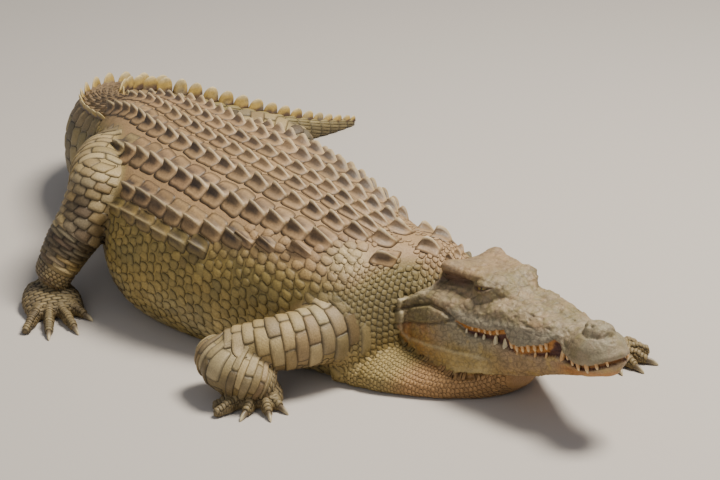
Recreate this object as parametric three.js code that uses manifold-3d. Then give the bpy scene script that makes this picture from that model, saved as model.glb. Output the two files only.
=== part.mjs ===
// An adult Nile crocodile lying on level ground, head a little raised and tail curved to its left.
// Millimetres. +X runs forwards along the trunk, +Y to the animal's left, +Z up from the ground.
import * as THREE from 'three';
import { mergeVertices } from 'three/addons/utils/BufferGeometryUtils.js';
import Module from 'manifold-3d';

const wasm = await Module();
wasm.setup();

// ---- Driving dimensions ------------------------------------------------------------------------
const GAP = 0.3;                 // clearance between neighbouring pieces
const ORIGIN = [-431.5, 200.9];  // middle of the bounding box, measured from between the shoulders
const HEAD_LENGTH = 500;         // snout tip to the back of the skull table
const HEAD_AT = [205, 78, 142];  // back of the skull, at the height of the tooth row
const HEAD_YAW = -5.4;           // degrees, the snout turned to the animal's right
const HEAD_PITCH = 5.7;          // degrees, the snout raised
const HEAD_BACK = -0.25;         // jaw joint, in head lengths from the back of the skull
const EYE_AT = [0.255, 0.122, 0.203];
const EYE_RADIUS = 19;
const SIDES = { throat: 14, head: 18, limb: 11, palm: 8, toe: 5 };

// Rows of the body from the nape to the tail tip. Each row is
// [x, y, half width, top, widest level, bottom, roundness]; a bottom below 0 lies flat on the ground.
const BODY = [
  [190, 62, 148, 244, 90, -24, 2.3],
  [60, 0, 222, 288, 92, -44, 2.3],
  [-60, -36, 240, 330, 110, -54, 2.3],
  [-210, -52, 278, 362, 125, -60, 2.4],
  [-380, -60, 322, 390, 132, -62, 2.4],
  [-560, -60, 328, 406, 142, -56, 2.4],
  [-730, -42, 258, 414, 164, -28, 2.4],
  [-880, -10, 200, 412, 192, 10, 2.3],
  [-1010, 12, 155, 390, 190, 30, 2.3],
  [-1140, 36, 136, 348, 165, 10, 2.3],
  [-1275, 76, 124, 316, 144, -6, 2.2],
  [-1390, 146, 110, 292, 128, -6, 2.2],
  [-1462, 250, 96, 268, 114, -6, 2.1],
  [-1474, 365, 80, 230, 97, -6, 2.1],
  [-1440, 480, 66, 190, 82, -6, 2.1],
  [-1390, 600, 53, 149, 67, -6, 2.1],
  [-1344, 720, 41, 108, 52, -5, 2.0],
  [-1318, 835, 30, 72, 36, -5, 2.0],
  [-1310, 940, 18, 44, 22, -4, 2.0],
  [-1318, 1036, 8, 24, 11, -3, 2.0],
];
// Scutes of the tail crest: in two rows from start to merge, then in one row to the end.
const CREST = { start: 8.25, merge: 13.8, end: 18.9, double: 13, single: 14 };
const CREST_HEIGHTS = { hips: 8, merge: 44, tip: 9 };
const CREST_SPREAD = { hips: 0.62, merge: 0.06 };  // place of the two rows, in half widths
const BACK_FALL = 0.45;          // how far the back drops towards its side, in heights over it
const SCUTE = {
  root: 12,                      // how deep it is sunk in the tail
  reach: 0.45,                   // from its middle forwards, as a share of the spacing
  back: 0.6,                     // from its middle backwards, as a share of that reach
  bare: 0.41,                    // where bare skin follows it, as a share of the spacing
  thick: 0.2,                    // half its thickness, as a share of its height
  lean: 0.5,                     // of its tip outwards, as a share of its height
  edge: 1.5,                     // half the thickness of its edge
};

/** Row position of scute i of the crest, counted from the hips. */
function crestRow(i) {
  const past = i - (CREST.double - 1);
  if (past <= 0) return CREST.merge + ((CREST.merge - CREST.start) * past) / (CREST.double - 1);
  return CREST.merge + ((CREST.end - CREST.merge) * past) / CREST.single;
}

/** Row position of the bare skin behind scute i. */
const behindScute = (i) => crestRow(i) + SCUTE.bare * (crestRow(i + 1) - crestRow(i));

// Rows of BODY where each length starts and ends, its steps between rings, and the sides of a ring.
const BODY_CUTS = {
  neck: [0, 2.2, 5, 24],
  trunk: [2.2, 8, 11, 26],
  tail_1: [8, behindScute(4), 5, 16],
  tail_2: [behindScute(4), behindScute(9), 5, 16],
  tail_3: [behindScute(9), behindScute(14), 4, 14],
  tail_4: [behindScute(14), behindScute(19), 4, 12],
  tail_5: [behindScute(19), 19, 4, 10],
};

// Rows of the throat pouch, laid out as the body's rows are.
const THROAT = [
  [0, -18, 228, 96, 30, -42, 2.3],
  [70, 0, 222, 88, 26, -42, 2.3],
  [160, 24, 200, 76, 22, -42, 2.3],
  [255, 43, 160, 74, 22, -34, 2.3],
  [335, 53, 108, 84, 32, -18, 2.2],
  [396, 56, 54, 100, 60, 20, 2.2],
];

// The head, in head lengths from the back of the skull.
// Rows of the cheeks and snout: [x, half width, top, roundness].
const FACE = [
  [-0.25, 0.268, 0.165, 2.4],
  [-0.12, 0.290, 0.185, 2.5],
  [0.02, 0.282, 0.182, 2.5],
  [0.15, 0.252, 0.176, 2.5],
  [0.28, 0.220, 0.174, 3.0],
  [0.40, 0.196, 0.176, 3.4],
  [0.52, 0.174, 0.162, 3.4],
  [0.63, 0.158, 0.145, 3.2],
  [0.71, 0.139, 0.128, 2.8],
  [0.77, 0.112, 0.118, 2.4],
  [0.84, 0.120, 0.126, 2.3],
  [0.91, 0.113, 0.124, 2.2],
  [0.965, 0.082, 0.102, 2.1],
  [0.995, 0.030, 0.062, 2.0],
];
// Rows of the skull table and the brow ridges that run down to the snout.
const TABLE = [
  [-0.07, 0.130, 0.225, 4.0],
  [0.00, 0.158, 0.268, 8.0],
  [0.10, 0.150, 0.266, 8.0],
  [0.20, 0.140, 0.262, 7.0],
  [0.27, 0.132, 0.256, 5.0],
  [0.32, 0.112, 0.236, 3.5],
  [0.38, 0.080, 0.196, 2.8],
  [0.47, 0.050, 0.158, 2.4],
];
const TABLE_LIFT = 0.06;         // height of the table's underside, sunk in the face
// Rows of the lower jaw: [x, half width, bottom, roundness].
const JAW = [
  [-0.25, 0.264, -0.150, 4.0],
  [-0.12, 0.292, -0.205, 7.0],
  [0.02, 0.286, -0.228, 8.0],
  [0.18, 0.256, -0.220, 8.0],
  [0.35, 0.202, -0.192, 7.0],
  [0.52, 0.160, -0.154, 5.0],
  [0.70, 0.124, -0.118, 3.0],
  [0.86, 0.102, -0.085, 2.2],
  [0.95, 0.070, -0.062, 2.1],
  [0.985, 0.026, -0.040, 2.0],
];
// The line where the jaws close: [x, height], from the jaw joint to the snout tip.
const MOUTH = [
  [-0.25, 0.000], [-0.04, 0.020], [0.17, 0.030], [0.30, 0.010], [0.40, 0.028], [0.47, -0.020],
  [0.59, -0.014], [0.70, 0.012], [0.77, 0.004], [0.84, -0.026], [0.92, -0.020], [1.00, 0.012],
];
const HEAD_GAP = (1.5 * GAP) / HEAD_LENGTH;
const MOUTH_CORNER = 0.17;
const JAW_END = 0.965;           // last row that both jaws share, before their rounded tips
const GAPE = 0.010;              // how far the jaws stand apart in front of the mouth's corner
const TOOTH = { root: 10, radius: 2.4, widening: 0.14 };  // depth in the jaw; radius by length
// Teeth that show: [x, length in mm].
const UPPER_TEETH = [[0.35, 12], [0.42, 16], [0.50, 24], [0.56, 14], [0.64, 13], [0.90, 20]];
const LOWER_TEETH = [[0.585, 13], [0.76, 26]];
const BROW = { at: [0.262, 0.100, 0.185], radii: [46, 27, 32], turn: 14 };
const NOSTRILS = { at: [0.862, 0, 0.110], radii: [34, 30, 20], turn: 0 };

// Limbs: rows [x, y, z, half width, half thickness] down the upper part, from its root inside the
// body, and down the lower part to the wrist or ankle. A toe is
// [turn from the foot's heading towards the midline, reach, has a claw].
const FORE_TOES = [
  [52, 80, true], [26, 94, true], [-2, 100, true], [-34, 106, false], [-62, 98, false],
];
const HIND_TOES = [[32, 150, true], [10, 188, true], [-14, 194, true], [-40, 168, false]];
const BENT_TOES = [
  [46, 70, true], [18, 84, true], [-18, 86, true], [-46, 130, false], [-62, 116, false],
];
const TURNED_TOES = [[30, 132, true], [8, 182, true], [-12, 192, true], [-30, 188, false]];
const LIMBS = [
  {
    names: ['upper_arm_right', 'forearm_right', 'forefoot_right'],
    upper: [
      [20, -120, 134, 76, 84], [40, -245, 124, 68, 74],
      [2, -352, 116, 64, 66], [-62, -436, 96, 61, 60],
    ],
    lower: [
      [-76, -448, 84, 62, 58], [-28, -450, 76, 70, 61],
      [8, -430, 66, 67, 53], [28, -406, 52, 60, 42],
    ],
    side: -1,
    palm: [24, -410],
    heading: -45,
    width: 50,
    toes: BENT_TOES,
  },
  {
    names: ['upper_arm_left', 'forearm_left', 'forefoot_left'],
    upper: [
      [10, 80, 136, 74, 80], [60, 180, 120, 60, 66],
      [118, 256, 92, 53, 54], [152, 288, 74, 49, 48],
    ],
    lower: [
      [164, 298, 70, 49, 46], [225, 310, 60, 48, 42],
      [290, 324, 50, 45, 37], [352, 340, 41, 45, 30],
    ],
    side: 1,
    palm: [380, 350],
    heading: 25,
    width: 48,
    toes: FORE_TOES,
  },
  {
    names: ['thigh_right', 'shank_right', 'hindfoot_right'],
    upper: [
      [-922, -84, 245, 94, 100], [-878, -180, 266, 90, 96],
      [-802, -262, 284, 82, 84], [-738, -314, 286, 76, 74],
    ],
    lower: [
      [-732, -322, 282, 76, 72], [-732, -358, 214, 80, 70],
      [-748, -404, 148, 76, 62], [-764, -446, 76, 76, 48],
    ],
    side: -1,
    palm: [-748, -470],
    heading: -22,
    width: 72,
    toes: TURNED_TOES,
  },
  {
    names: ['thigh_left', 'shank_left', 'hindfoot_left'],
    upper: [
      [-905, 92, 240, 76, 86], [-878, 180, 252, 88, 90],
      [-822, 262, 254, 78, 78], [-766, 318, 244, 68, 66],
    ],
    lower: [
      [-760, 326, 238, 68, 64], [-770, 362, 178, 65, 58],
      [-792, 396, 122, 58, 52], [-806, 430, 74, 56, 42],
    ],
    side: 1,
    palm: [-798, 456],
    heading: 38,
    width: 60,
    toes: HIND_TOES,
  },
];
const JOINT_ANGLES = [72, 40];    // of the rings that round off an elbow, knee or ankle
const ANKLE_REACH = 0.8;         // of the rounding at a wrist or ankle, in half thicknesses
// Rows of the palm and of a toe: [share of the reach, half width, top, bottom]; the palm's half
// width is a share of the foot's. Rows of a claw start with the distance from the toe's end.
const PALM_ROWS = [[-0.22, 0.80, 62, -12], [0.10, 1.02, 57, -16], [0.52, 0.96, 30, -12]];
const TOE_ROWS = [[0.42, 13, 38, -8], [0.66, 13, 34, -8], [0.86, 11.5, 27, -6], [1, 8, 17, -4]];
const CLAW_ROWS = [[0, 6.5, 16.5, 0.4], [12, 5, 14.5, 0.6], [26, 0.8, 3.2, 0.6]];

const COLOURS = {
  head: 0x8f8466,
  neck: 0x9a8650,
  trunk: 0x857250,
  tail: 0x7c7350,
  limb: 0x8c8060,
  eye: 0x6b5a25,
  claw: 0xb9ad90,
};

// ---- Curves and surfaces ------------------------------------------------------------------------
/** Values of a table's columns at row position u, passing smoothly through the rows. */
function rowAt(table, u) {
  const last = table.length - 1;
  const i = Math.max(0, Math.min(Math.floor(u), last - 1));
  const t = u - i;
  return table[i].map((_, k) => {
    const before = table[Math.max(i - 1, 0)][k];
    const from = table[i][k];
    const to = table[i + 1][k];
    const after = table[Math.min(i + 2, last)][k];
    const leave = (to - before) / 2;
    const reach = (after - from) / 2;
    const bend = 3 * (to - from) - 2 * leave - reach;
    const twist = 2 * (from - to) + leave + reach;
    return from + t * (leave + t * (bend + t * twist));
  });
}

/** Values of a table at a given value x of its first column. */
function tableAt(table, x) {
  const last = table.length - 1;
  let i = 0;
  while (i < last - 1 && x > table[i + 1][0]) i += 1;
  return rowAt(table, i + (x - table[i][0]) / (table[i + 1][0] - table[i][0]));
}

const signedPower = (value, power) => Math.sign(value) * Math.abs(value) ** power;

/** Closed surface through rings of equal count, each end closed by a fan about its centre. */
function tube(rings) {
  const sides = rings[0].length;
  const points = rings.flat();
  const faces = [];
  for (let r = 0; r + 1 < rings.length; r += 1) {
    for (let i = 0; i < sides; i += 1) {
      const a = r * sides + i;
      const b = r * sides + ((i + 1) % sides);
      faces.push(a, b, b + sides, a, b + sides, a + sides);
    }
  }
  for (const r of [0, rings.length - 1]) {
    points.push(rings[r].reduce((sum, p) => sum.add(p), new THREE.Vector3()).divideScalar(sides));
    for (let i = 0; i < sides; i += 1) {
      const edge = [r * sides + i, r * sides + ((i + 1) % sides)];
      faces.push(points.length - 1, ...(r === 0 ? edge.reverse() : edge));
    }
  }
  const geometry = new THREE.BufferGeometry().setFromPoints(points);
  geometry.setIndex(faces);
  return geometry;
}

/** Manifold solid of a closed three.js geometry. */
function solid(source) {
  const bare = source.clone();
  bare.deleteAttribute('normal');
  bare.deleteAttribute('uv');
  const merged = mergeVertices(bare);
  return new wasm.Manifold(new wasm.Mesh({
    numProp: 3,
    vertProperties: new Float32Array(merged.attributes.position.array),
    triVerts: new Uint32Array(merged.index.array),
  }));
}

/** three.js geometry of a manifold solid. */
function geometryOf(shape) {
  const mesh = shape.getMesh();
  const geometry = new THREE.BufferGeometry();
  geometry.setAttribute('position', new THREE.BufferAttribute(mesh.vertProperties, 3));
  geometry.setIndex(new THREE.BufferAttribute(mesh.triVerts, 1));
  return geometry;
}

const joined = (shapes) => shapes.reduce((sum, shape) => sum.add(shape));

// ---- Body ---------------------------------------------------------------------------------------
/** One closed ring of a body table at row position u, made wider all round by grow. */
function bodyRing(table, u, sides, grow) {
  const [x, y, wide, top, level, bottom, round] = rowAt(table, u);
  const [xf, yf] = rowAt(table, u - 0.02);
  const [xb, yb] = rowAt(table, u + 0.02);
  const forward = new THREE.Vector2(xf - xb, yf - yb).normalize();
  return Array.from({ length: sides }, (_, i) => {
    const angle = (2 * Math.PI * i) / sides;
    const out = signedPower(Math.sin(angle), 2 / round) * (wide + grow);
    const rise = signedPower(Math.cos(angle), 2 / round);
    const z = level + rise * (rise > 0 ? top + grow - level : level + grow - bottom);
    return new THREE.Vector3(x - forward.y * out, y + forward.x * out, z);
  });
}

/** A length of a body table, its front end clear of the length before it. */
function bodyLength(table, [from, to, steps, sides], grow = 0) {
  const [xa, ya] = rowAt(table, from);
  const [xb, yb] = rowAt(table, from + 0.5);
  const start = from + (0.5 * (GAP - grow)) / Math.hypot(xb - xa, yb - ya);
  const rings = Array.from({ length: steps + 1 }, (_, i) => (
    bodyRing(table, start + ((to - start) * i) / steps, sides, grow)));
  return solid(tube(rings));
}

/** A blade-like scute of the tail crest, its root sunk in the tail; out is its place across it. */
function crestScute(u, spacing, out, height) {
  const [x, y, wide, top, level] = rowAt(BODY, u);
  const [xf, yf] = rowAt(BODY, u - spacing / 2);
  const [xb, yb] = rowAt(BODY, u + spacing / 2);
  const forward = new THREE.Vector3(xf - xb, yf - yb, 0);
  const reach = forward.length() * SCUTE.reach;
  const back = -reach * SCUTE.back;
  forward.normalize();
  const aside = new THREE.Vector3(-forward.y, forward.x, 0);
  const root = new THREE.Vector3(x, y, top - SCUTE.root).addScaledVector(aside, out * wide);
  root.z -= out ** 2 * BACK_FALL * (top - level);
  const thick = SCUTE.thick * height + 2 * SCUTE.edge;
  const lean = SCUTE.lean * out * height;
  const tip = height + SCUTE.root;
  const at = (along, side, up) => root.clone().addScaledVector(forward, along)
    .addScaledVector(aside, side).add(new THREE.Vector3(0, 0, up));
  const foot = [at(reach, 0, 0), at(back, thick, 0), at(back, -thick, 0)];
  const edge = [
    at(back / 3, lean, tip * 0.9), at(back, lean + SCUTE.edge, tip), at(back, lean - SCUTE.edge, tip),
  ];
  return solid(tube([foot, edge]));
}

/** The crest along one length of the tail: two rows of scutes that merge into one. */
function crestScutes(from, to) {
  const scutes = [];
  for (let i = 0; i < CREST.double + CREST.single; i += 1) {
    const u = crestRow(i);
    if (u < from || u > to) continue;
    const spacing = crestRow(i + 1) - u;
    const { hips, merge, tip } = CREST_HEIGHTS;
    if (u < CREST.merge) {
      const along = (u - CREST.start) / (CREST.merge - CREST.start);
      const height = hips + (merge - hips) * along;
      const out = CREST_SPREAD.hips * (1 - along) ** 0.8 + CREST_SPREAD.merge;
      scutes.push(crestScute(u, spacing, out, height), crestScute(u, spacing, -out, height));
    } else {
      const along = (u - CREST.merge) / (CREST.end - CREST.merge);
      scutes.push(crestScute(u, spacing, 0, merge + (tip - merge) * along));
    }
  }
  return scutes;
}

// ---- Head, built in its own frame and then turned into place -------------------------------------
const headPlace = new THREE.Matrix4()
  .makeRotationZ(THREE.MathUtils.degToRad(HEAD_YAW))
  .multiply(new THREE.Matrix4().makeRotationY(THREE.MathUtils.degToRad(-HEAD_PITCH)))
  .setPosition(...HEAD_AT);

const inPlace = (shape) => solid(geometryOf(shape).applyMatrix4(headPlace));
const mouthAt = (x) => tableAt(MOUTH, x)[1];

/** Half the clearance between the jaws at x: nearly shut behind the corner of the mouth. */
function halfGape(x) {
  const open = Math.min(1, Math.max(0, (x - MOUTH_CORNER) / 0.06));
  return (HEAD_GAP + (GAPE - HEAD_GAP) * open) / 2;
}

/** Half a head section: over (side 1) or under (side -1) the mouth line, with a flat face there. */
function headRing([x, wide, reach, round], side, grow, lift = 0) {
  const shut = mouthAt(x) + side * (halfGape(x) + lift - grow);
  const half = SIDES.head / 2;
  const arch = Array.from({ length: half + 1 }, (_, i) => {
    const angle = (Math.PI * i) / half;
    const out = signedPower(Math.cos(angle), 2 / round) * (wide + grow);
    const rise = Math.sin(angle) ** (2 / round) * (reach + side * grow - shut);
    return new THREE.Vector3(x, out, shut + rise);
  });
  const inner = [-0.4, 0.4].map((share) => new THREE.Vector3(x, share * wide, shut));
  const ring = [...arch, ...inner].map((point) => point.multiplyScalar(HEAD_LENGTH));
  return side > 0 ? ring : ring.reverse();
}

/** Loft of a head table, on the same rows for both jaws so that they meet along one line. */
function headLoft(table, side, grow = 0) {
  const steps = 19;
  const rows = Array.from({ length: steps + 1 }, (_, i) => (
    i === 0 ? HEAD_BACK - 2 * grow : HEAD_BACK + ((JAW_END - HEAD_BACK) * i) / steps));
  rows.push(table.at(-1)[0]);
  return solid(tube(rows.map((x) => headRing([x, ...tableAt(table, x).slice(1)], side, grow))));
}

/** Loft of the skull table and brows, sunk in the face. */
function tableLoft() {
  return solid(tube(TABLE.map((row) => headRing(row, 1, 0, TABLE_LIFT))));
}

/** An ellipsoid on one side of the head; radii in millimetres. */
function bump({ at, radii, turn }, side) {
  const geometry = new THREE.SphereGeometry(1, 8, 6);
  geometry.scale(...radii);
  geometry.rotateZ(THREE.MathUtils.degToRad(-side * turn));
  geometry.translate(at[0] * HEAD_LENGTH, side * at[1] * HEAD_LENGTH, at[2] * HEAD_LENGTH);
  return solid(geometry);
}

/** A conical tooth that points down from the upper jaw or up from the lower one. */
function tooth(x, side, length, upper, grow = 0) {
  const wide = tableAt(upper ? FACE : JAW, x)[1] * HEAD_LENGTH;
  const way = upper ? -1 : 1;
  const radius = TOOTH.radius + TOOTH.widening * length;
  const tall = length + TOOTH.root + 2 * grow;
  const geometry = new THREE.ConeGeometry(radius + grow, tall, 5);
  geometry.rotateX((way * Math.PI) / 2);
  const across = wide + (upper ? -radius : radius * 0.3);
  const middle = mouthAt(x) * HEAD_LENGTH + (way * (length - TOOTH.root)) / 2;
  geometry.translate(x * HEAD_LENGTH, side * across, middle);
  return solid(geometry);
}

const teeth = (rows, upper, grow) => rows.flatMap(([x, length]) => (
  [-1, 1].map((side) => tooth(x, side, length, upper, grow))));

/** An eyeball on one side of the head. */
function eyeball(radius, side) {
  const geometry = new THREE.SphereGeometry(radius, 10, 6);
  geometry.translate(EYE_AT[0] * HEAD_LENGTH, side * EYE_AT[1] * HEAD_LENGTH, EYE_AT[2] * HEAD_LENGTH);
  return solid(geometry);
}

function makeHead() {
  const bumps = [bump(BROW, -1), bump(BROW, 1), bump(NOSTRILS, 1)];
  const flesh = joined([headLoft(FACE, 1), tableLoft(), ...bumps]);
  const hollows = [eyeball(EYE_RADIUS + GAP, -1), eyeball(EYE_RADIUS + GAP, 1)];
  return joined([flesh, ...teeth(UPPER_TEETH, true, 0)])
    .subtract(joined([...teeth(LOWER_TEETH, false, GAP), ...hollows]));
}

function makeLowerJaw() {
  return joined([headLoft(JAW, -1), ...teeth(LOWER_TEETH, false, 0)])
    .subtract(joined(teeth(UPPER_TEETH, true, GAP)));
}

/** Everything forward of the jaw joint and a little more, as seen in the head's frame. */
function headSide(gap) {
  const size = 2000;
  const geometry = new THREE.BoxGeometry(size, size, size);
  geometry.translate(HEAD_BACK * HEAD_LENGTH - gap + size / 2, 0, 0);
  return solid(geometry.applyMatrix4(headPlace));
}

// ---- Limbs --------------------------------------------------------------------------------------
/** Ring of a limb at row position u, square to its path, moved on by shift along the path. */
function limbRing(rows, u, shift, grow, share = 1) {
  const [x, y, z, wide, thick] = rowAt(rows, u);
  const ahead = new THREE.Vector3(...rowAt(rows, u + 0.05));
  const behind = new THREE.Vector3(...rowAt(rows, u - 0.05));
  const along = ahead.sub(behind).normalize();
  const aside = new THREE.Vector3(0, 0, 1).cross(along).normalize();
  const over = along.clone().cross(aside);
  const centre = new THREE.Vector3(x, y, z).addScaledVector(along, shift);
  return Array.from({ length: SIDES.limb }, (_, i) => {
    const angle = (-2 * Math.PI * i) / SIDES.limb;
    return centre.clone().addScaledVector(aside, Math.sin(angle) * share * (wide + grow))
      .addScaledVector(over, Math.cos(angle) * share * (thick + grow));
  });
}

/** The upper or lower part of a limb; grow swells it and lengthens both its ends. */
function limbPart(rows, grow = 0) {
  const steps = 5;
  return Array.from({ length: steps + 1 }, (_, i) => {
    const shift = (i === 0 ? -grow : 0) + (i === steps ? grow : 0);
    return limbRing(rows, ((rows.length - 1) * i) / steps, shift, grow);
  });
}

/** Rings that round off the start (end -1) or finish (end 1) of a limb's lower part. */
function limbJoint(rows, end, grow) {
  const last = rows.length - 1;
  const reach = end < 0 ? rows[0][3] : ANKLE_REACH * rows[last][4];
  const rings = JOINT_ANGLES.map((degrees) => {
    const angle = THREE.MathUtils.degToRad(degrees);
    const shift = end * (reach * Math.sin(angle) + grow);
    return limbRing(rows, end < 0 ? 0 : last, shift, grow, Math.cos(angle));
  });
  return end < 0 ? rings : rings.reverse();
}

/** The lower part of a limb, with rounded ends. */
const shin = (rows, grow = 0) => solid(tube([
  ...limbJoint(rows, -1, grow), ...limbPart(rows, grow), ...limbJoint(rows, 1, grow),
]));

/** Ring across a level heading, at a distance along it from the centre. */
function levelRing(centre, heading, along, [wide, top, bottom], sides) {
  const turn = THREE.MathUtils.degToRad(heading);
  const forward = new THREE.Vector2(Math.cos(turn), Math.sin(turn));
  const middle = (top + bottom) / 2;
  return Array.from({ length: sides }, (_, i) => {
    const angle = (-2 * Math.PI * (i + 0.5)) / sides;
    const out = Math.sin(angle) * wide;
    return new THREE.Vector3(
      centre[0] + forward.x * along - forward.y * out,
      centre[1] + forward.y * along + forward.x * out,
      middle + Math.cos(angle) * (top - middle),
    );
  });
}

/** Palm or sole with its toes, without claws. */
function makeFoot({ palm, heading, side, width, toes }) {
  const reach = toes[1][1];
  const sole = PALM_ROWS.map(([share, wide, top, bottom]) => (
    levelRing(palm, heading, share * reach, [wide * width, top, bottom], SIDES.palm)));
  const digits = toes.map(([turn, length]) => TOE_ROWS.map(([share, ...size]) => (
    levelRing(palm, heading - side * turn, share * length, size, SIDES.toe))));
  return joined([sole, ...digits].map((rings) => solid(tube(rings))));
}

/** The claw in front of one toe. */
function makeClaw({ palm, heading, side }, [turn, length]) {
  return solid(tube(CLAW_ROWS.map(([along, ...size]) => (
    levelRing(palm, heading - side * turn, length + GAP + along, size, SIDES.toe)))));
}

// ---- Assembly -----------------------------------------------------------------------------------
const crocodile = new THREE.Group();
crocodile.position.set(-ORIGIN[0], -ORIGIN[1], 0);

/** Everything below the ground, a block that evens out the underside of what lies on it. */
function underground() {
  const size = 4000;
  return solid(new THREE.BoxGeometry(size, size, size).translate(0, 0, -size / 2));
}
const below = underground();

function addPart(name, shape, colour, roughness = 0.75) {
  const material = new THREE.MeshStandardMaterial({ color: colour, roughness, metalness: 0 });
  const mesh = new THREE.Mesh(geometryOf(shape.subtract(below)), material);
  mesh.name = name;
  crocodile.add(mesh);
}

addPart('head', inPlace(makeHead()), COLOURS.head);
addPart('lower_jaw', inPlace(makeLowerJaw()), COLOURS.head);
addPart('eye_left', inPlace(eyeball(EYE_RADIUS, 1)), COLOURS.eye, 0.15);
addPart('eye_right', inPlace(eyeball(EYE_RADIUS, -1)), COLOURS.eye, 0.15);

const grownBody = {};
for (const [name, cuts] of Object.entries(BODY_CUTS)) {
  const length = bodyLength(BODY, cuts);
  grownBody[name] = bodyLength(BODY, cuts, GAP);
  if (name === 'neck') {
    addPart(name, length.subtract(headSide(GAP)), COLOURS.neck);
  } else if (name === 'trunk') {
    addPart(name, length, COLOURS.trunk);
  } else {
    addPart(name, joined([length, ...crestScutes(cuts[0], cuts[1])]), COLOURS.tail);
  }
}

const grownHead = inPlace(joined([headLoft(JAW, -1, HEAD_GAP), headLoft(FACE, 1, HEAD_GAP)]));
const pouchCuts = [0, THROAT.length - 1, 8, SIDES.throat];
const pouch = bodyLength(THROAT, pouchCuts);
addPart('throat', pouch.subtract(grownHead).intersect(headSide(0)), COLOURS.neck);
const grownPouch = bodyLength(THROAT, pouchCuts, GAP);

const torso = joined([grownBody.neck, grownBody.trunk, grownBody.tail_1, grownPouch, grownHead]);
for (const limb of LIMBS) {
  const { names, upper, lower, toes } = limb;
  addPart(names[0], solid(tube(limbPart(upper))).subtract(torso), COLOURS.limb);
  const grownUpper = solid(tube(limbPart(upper, GAP)));
  addPart(names[1], shin(lower).subtract(joined([grownUpper, torso])), COLOURS.limb);
  addPart(names[2], makeFoot(limb).subtract(shin(lower, GAP)), COLOURS.limb);
  toes.filter((toe) => toe[2]).forEach((toe, i) => {
    addPart(`claw_${names[2]}_${i + 1}`, makeClaw(limb, toe), COLOURS.claw, 0.4);
  });
}

export default crocodile;
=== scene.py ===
"""An adult Nile crocodile lying on level ground: one skin over the whole body, and its scales."""
import itertools
from math import cos, pi, radians, sin

import bpy
import bmesh
import numpy as np
from mathutils import Matrix, Vector
from mathutils.bvhtree import BVHTree


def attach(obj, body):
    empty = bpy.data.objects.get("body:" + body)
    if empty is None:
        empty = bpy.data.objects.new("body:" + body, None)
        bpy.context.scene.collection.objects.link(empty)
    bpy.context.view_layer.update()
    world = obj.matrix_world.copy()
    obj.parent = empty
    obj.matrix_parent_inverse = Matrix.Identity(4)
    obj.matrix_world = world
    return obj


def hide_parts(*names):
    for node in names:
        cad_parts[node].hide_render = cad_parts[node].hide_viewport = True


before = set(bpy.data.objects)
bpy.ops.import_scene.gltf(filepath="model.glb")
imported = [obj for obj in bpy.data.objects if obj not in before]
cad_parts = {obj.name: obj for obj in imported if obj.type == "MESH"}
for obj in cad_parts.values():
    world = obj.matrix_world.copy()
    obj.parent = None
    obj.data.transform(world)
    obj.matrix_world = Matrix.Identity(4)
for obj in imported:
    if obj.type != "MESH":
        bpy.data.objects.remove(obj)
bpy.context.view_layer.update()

# ---- Dimensions, in millimetres measured from between the shoulders, as the solids are ------------
ORIGIN = np.array([-431.5, 200.9, 0.0])      # where the frame's own origin lies
MM = 0.001
HEAD_LENGTH = 500
HEAD_AT = np.array([205, 78, 142])
HEAD_YAW, HEAD_PITCH = -5.4, 5.7
EYE_AT = (0.255, 0.122, 0.203)
EYE_RADIUS = 19
COAT = 5.0                 # the skin lies this far inside the body's outline
FACE_COAT = 1.5            # and this far inside the head's and the toes'
GROUND = 2.5               # height of the skin's flat underside
VOXEL = 5.0

# Rows of the body: [x, y, half width, top, widest level, bottom, roundness].
BODY = [
    [190, 62, 148, 244, 90, -24, 2.3], [60, 0, 222, 288, 92, -44, 2.3],
    [-60, -36, 240, 330, 110, -54, 2.3], [-210, -52, 278, 362, 125, -60, 2.4],
    [-380, -60, 322, 390, 132, -62, 2.4], [-560, -60, 328, 406, 142, -56, 2.4],
    [-730, -42, 258, 414, 164, -28, 2.4], [-880, -10, 200, 412, 192, 10, 2.3],
    [-1010, 12, 155, 390, 190, 30, 2.3], [-1140, 36, 136, 348, 165, 10, 2.3],
    [-1275, 76, 124, 316, 144, -6, 2.2], [-1390, 146, 110, 292, 128, -6, 2.2],
    [-1462, 250, 96, 268, 114, -6, 2.1], [-1474, 365, 80, 230, 97, -6, 2.1],
    [-1440, 480, 66, 190, 82, -6, 2.1], [-1390, 600, 53, 149, 67, -6, 2.1],
    [-1344, 720, 41, 108, 52, -5, 2.0], [-1318, 835, 30, 72, 36, -5, 2.0],
    [-1310, 940, 18, 44, 22, -4, 2.0], [-1318, 1036, 8, 24, 11, -3, 2.0],
]
# Right and left edge of the nape, which lies behind the jaws, at these row positions of the body.
NAPE_EDGES = [[0, 0.32, 0.55, 0.74, 0.88, 1.05, 1.4], [-26, -32, -38, -46, -60, -122, -236],
              [184, 200, 210, 216, 220, 222, 214]]
THROAT = [
    [0, -18, 228, 96, 30, -42, 2.3], [70, 0, 222, 88, 26, -42, 2.3],
    [160, 24, 200, 76, 22, -42, 2.3], [255, 43, 160, 74, 22, -34, 2.3],
    [335, 53, 108, 84, 32, -18, 2.2], [396, 56, 54, 100, 60, 20, 2.2],
]
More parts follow.
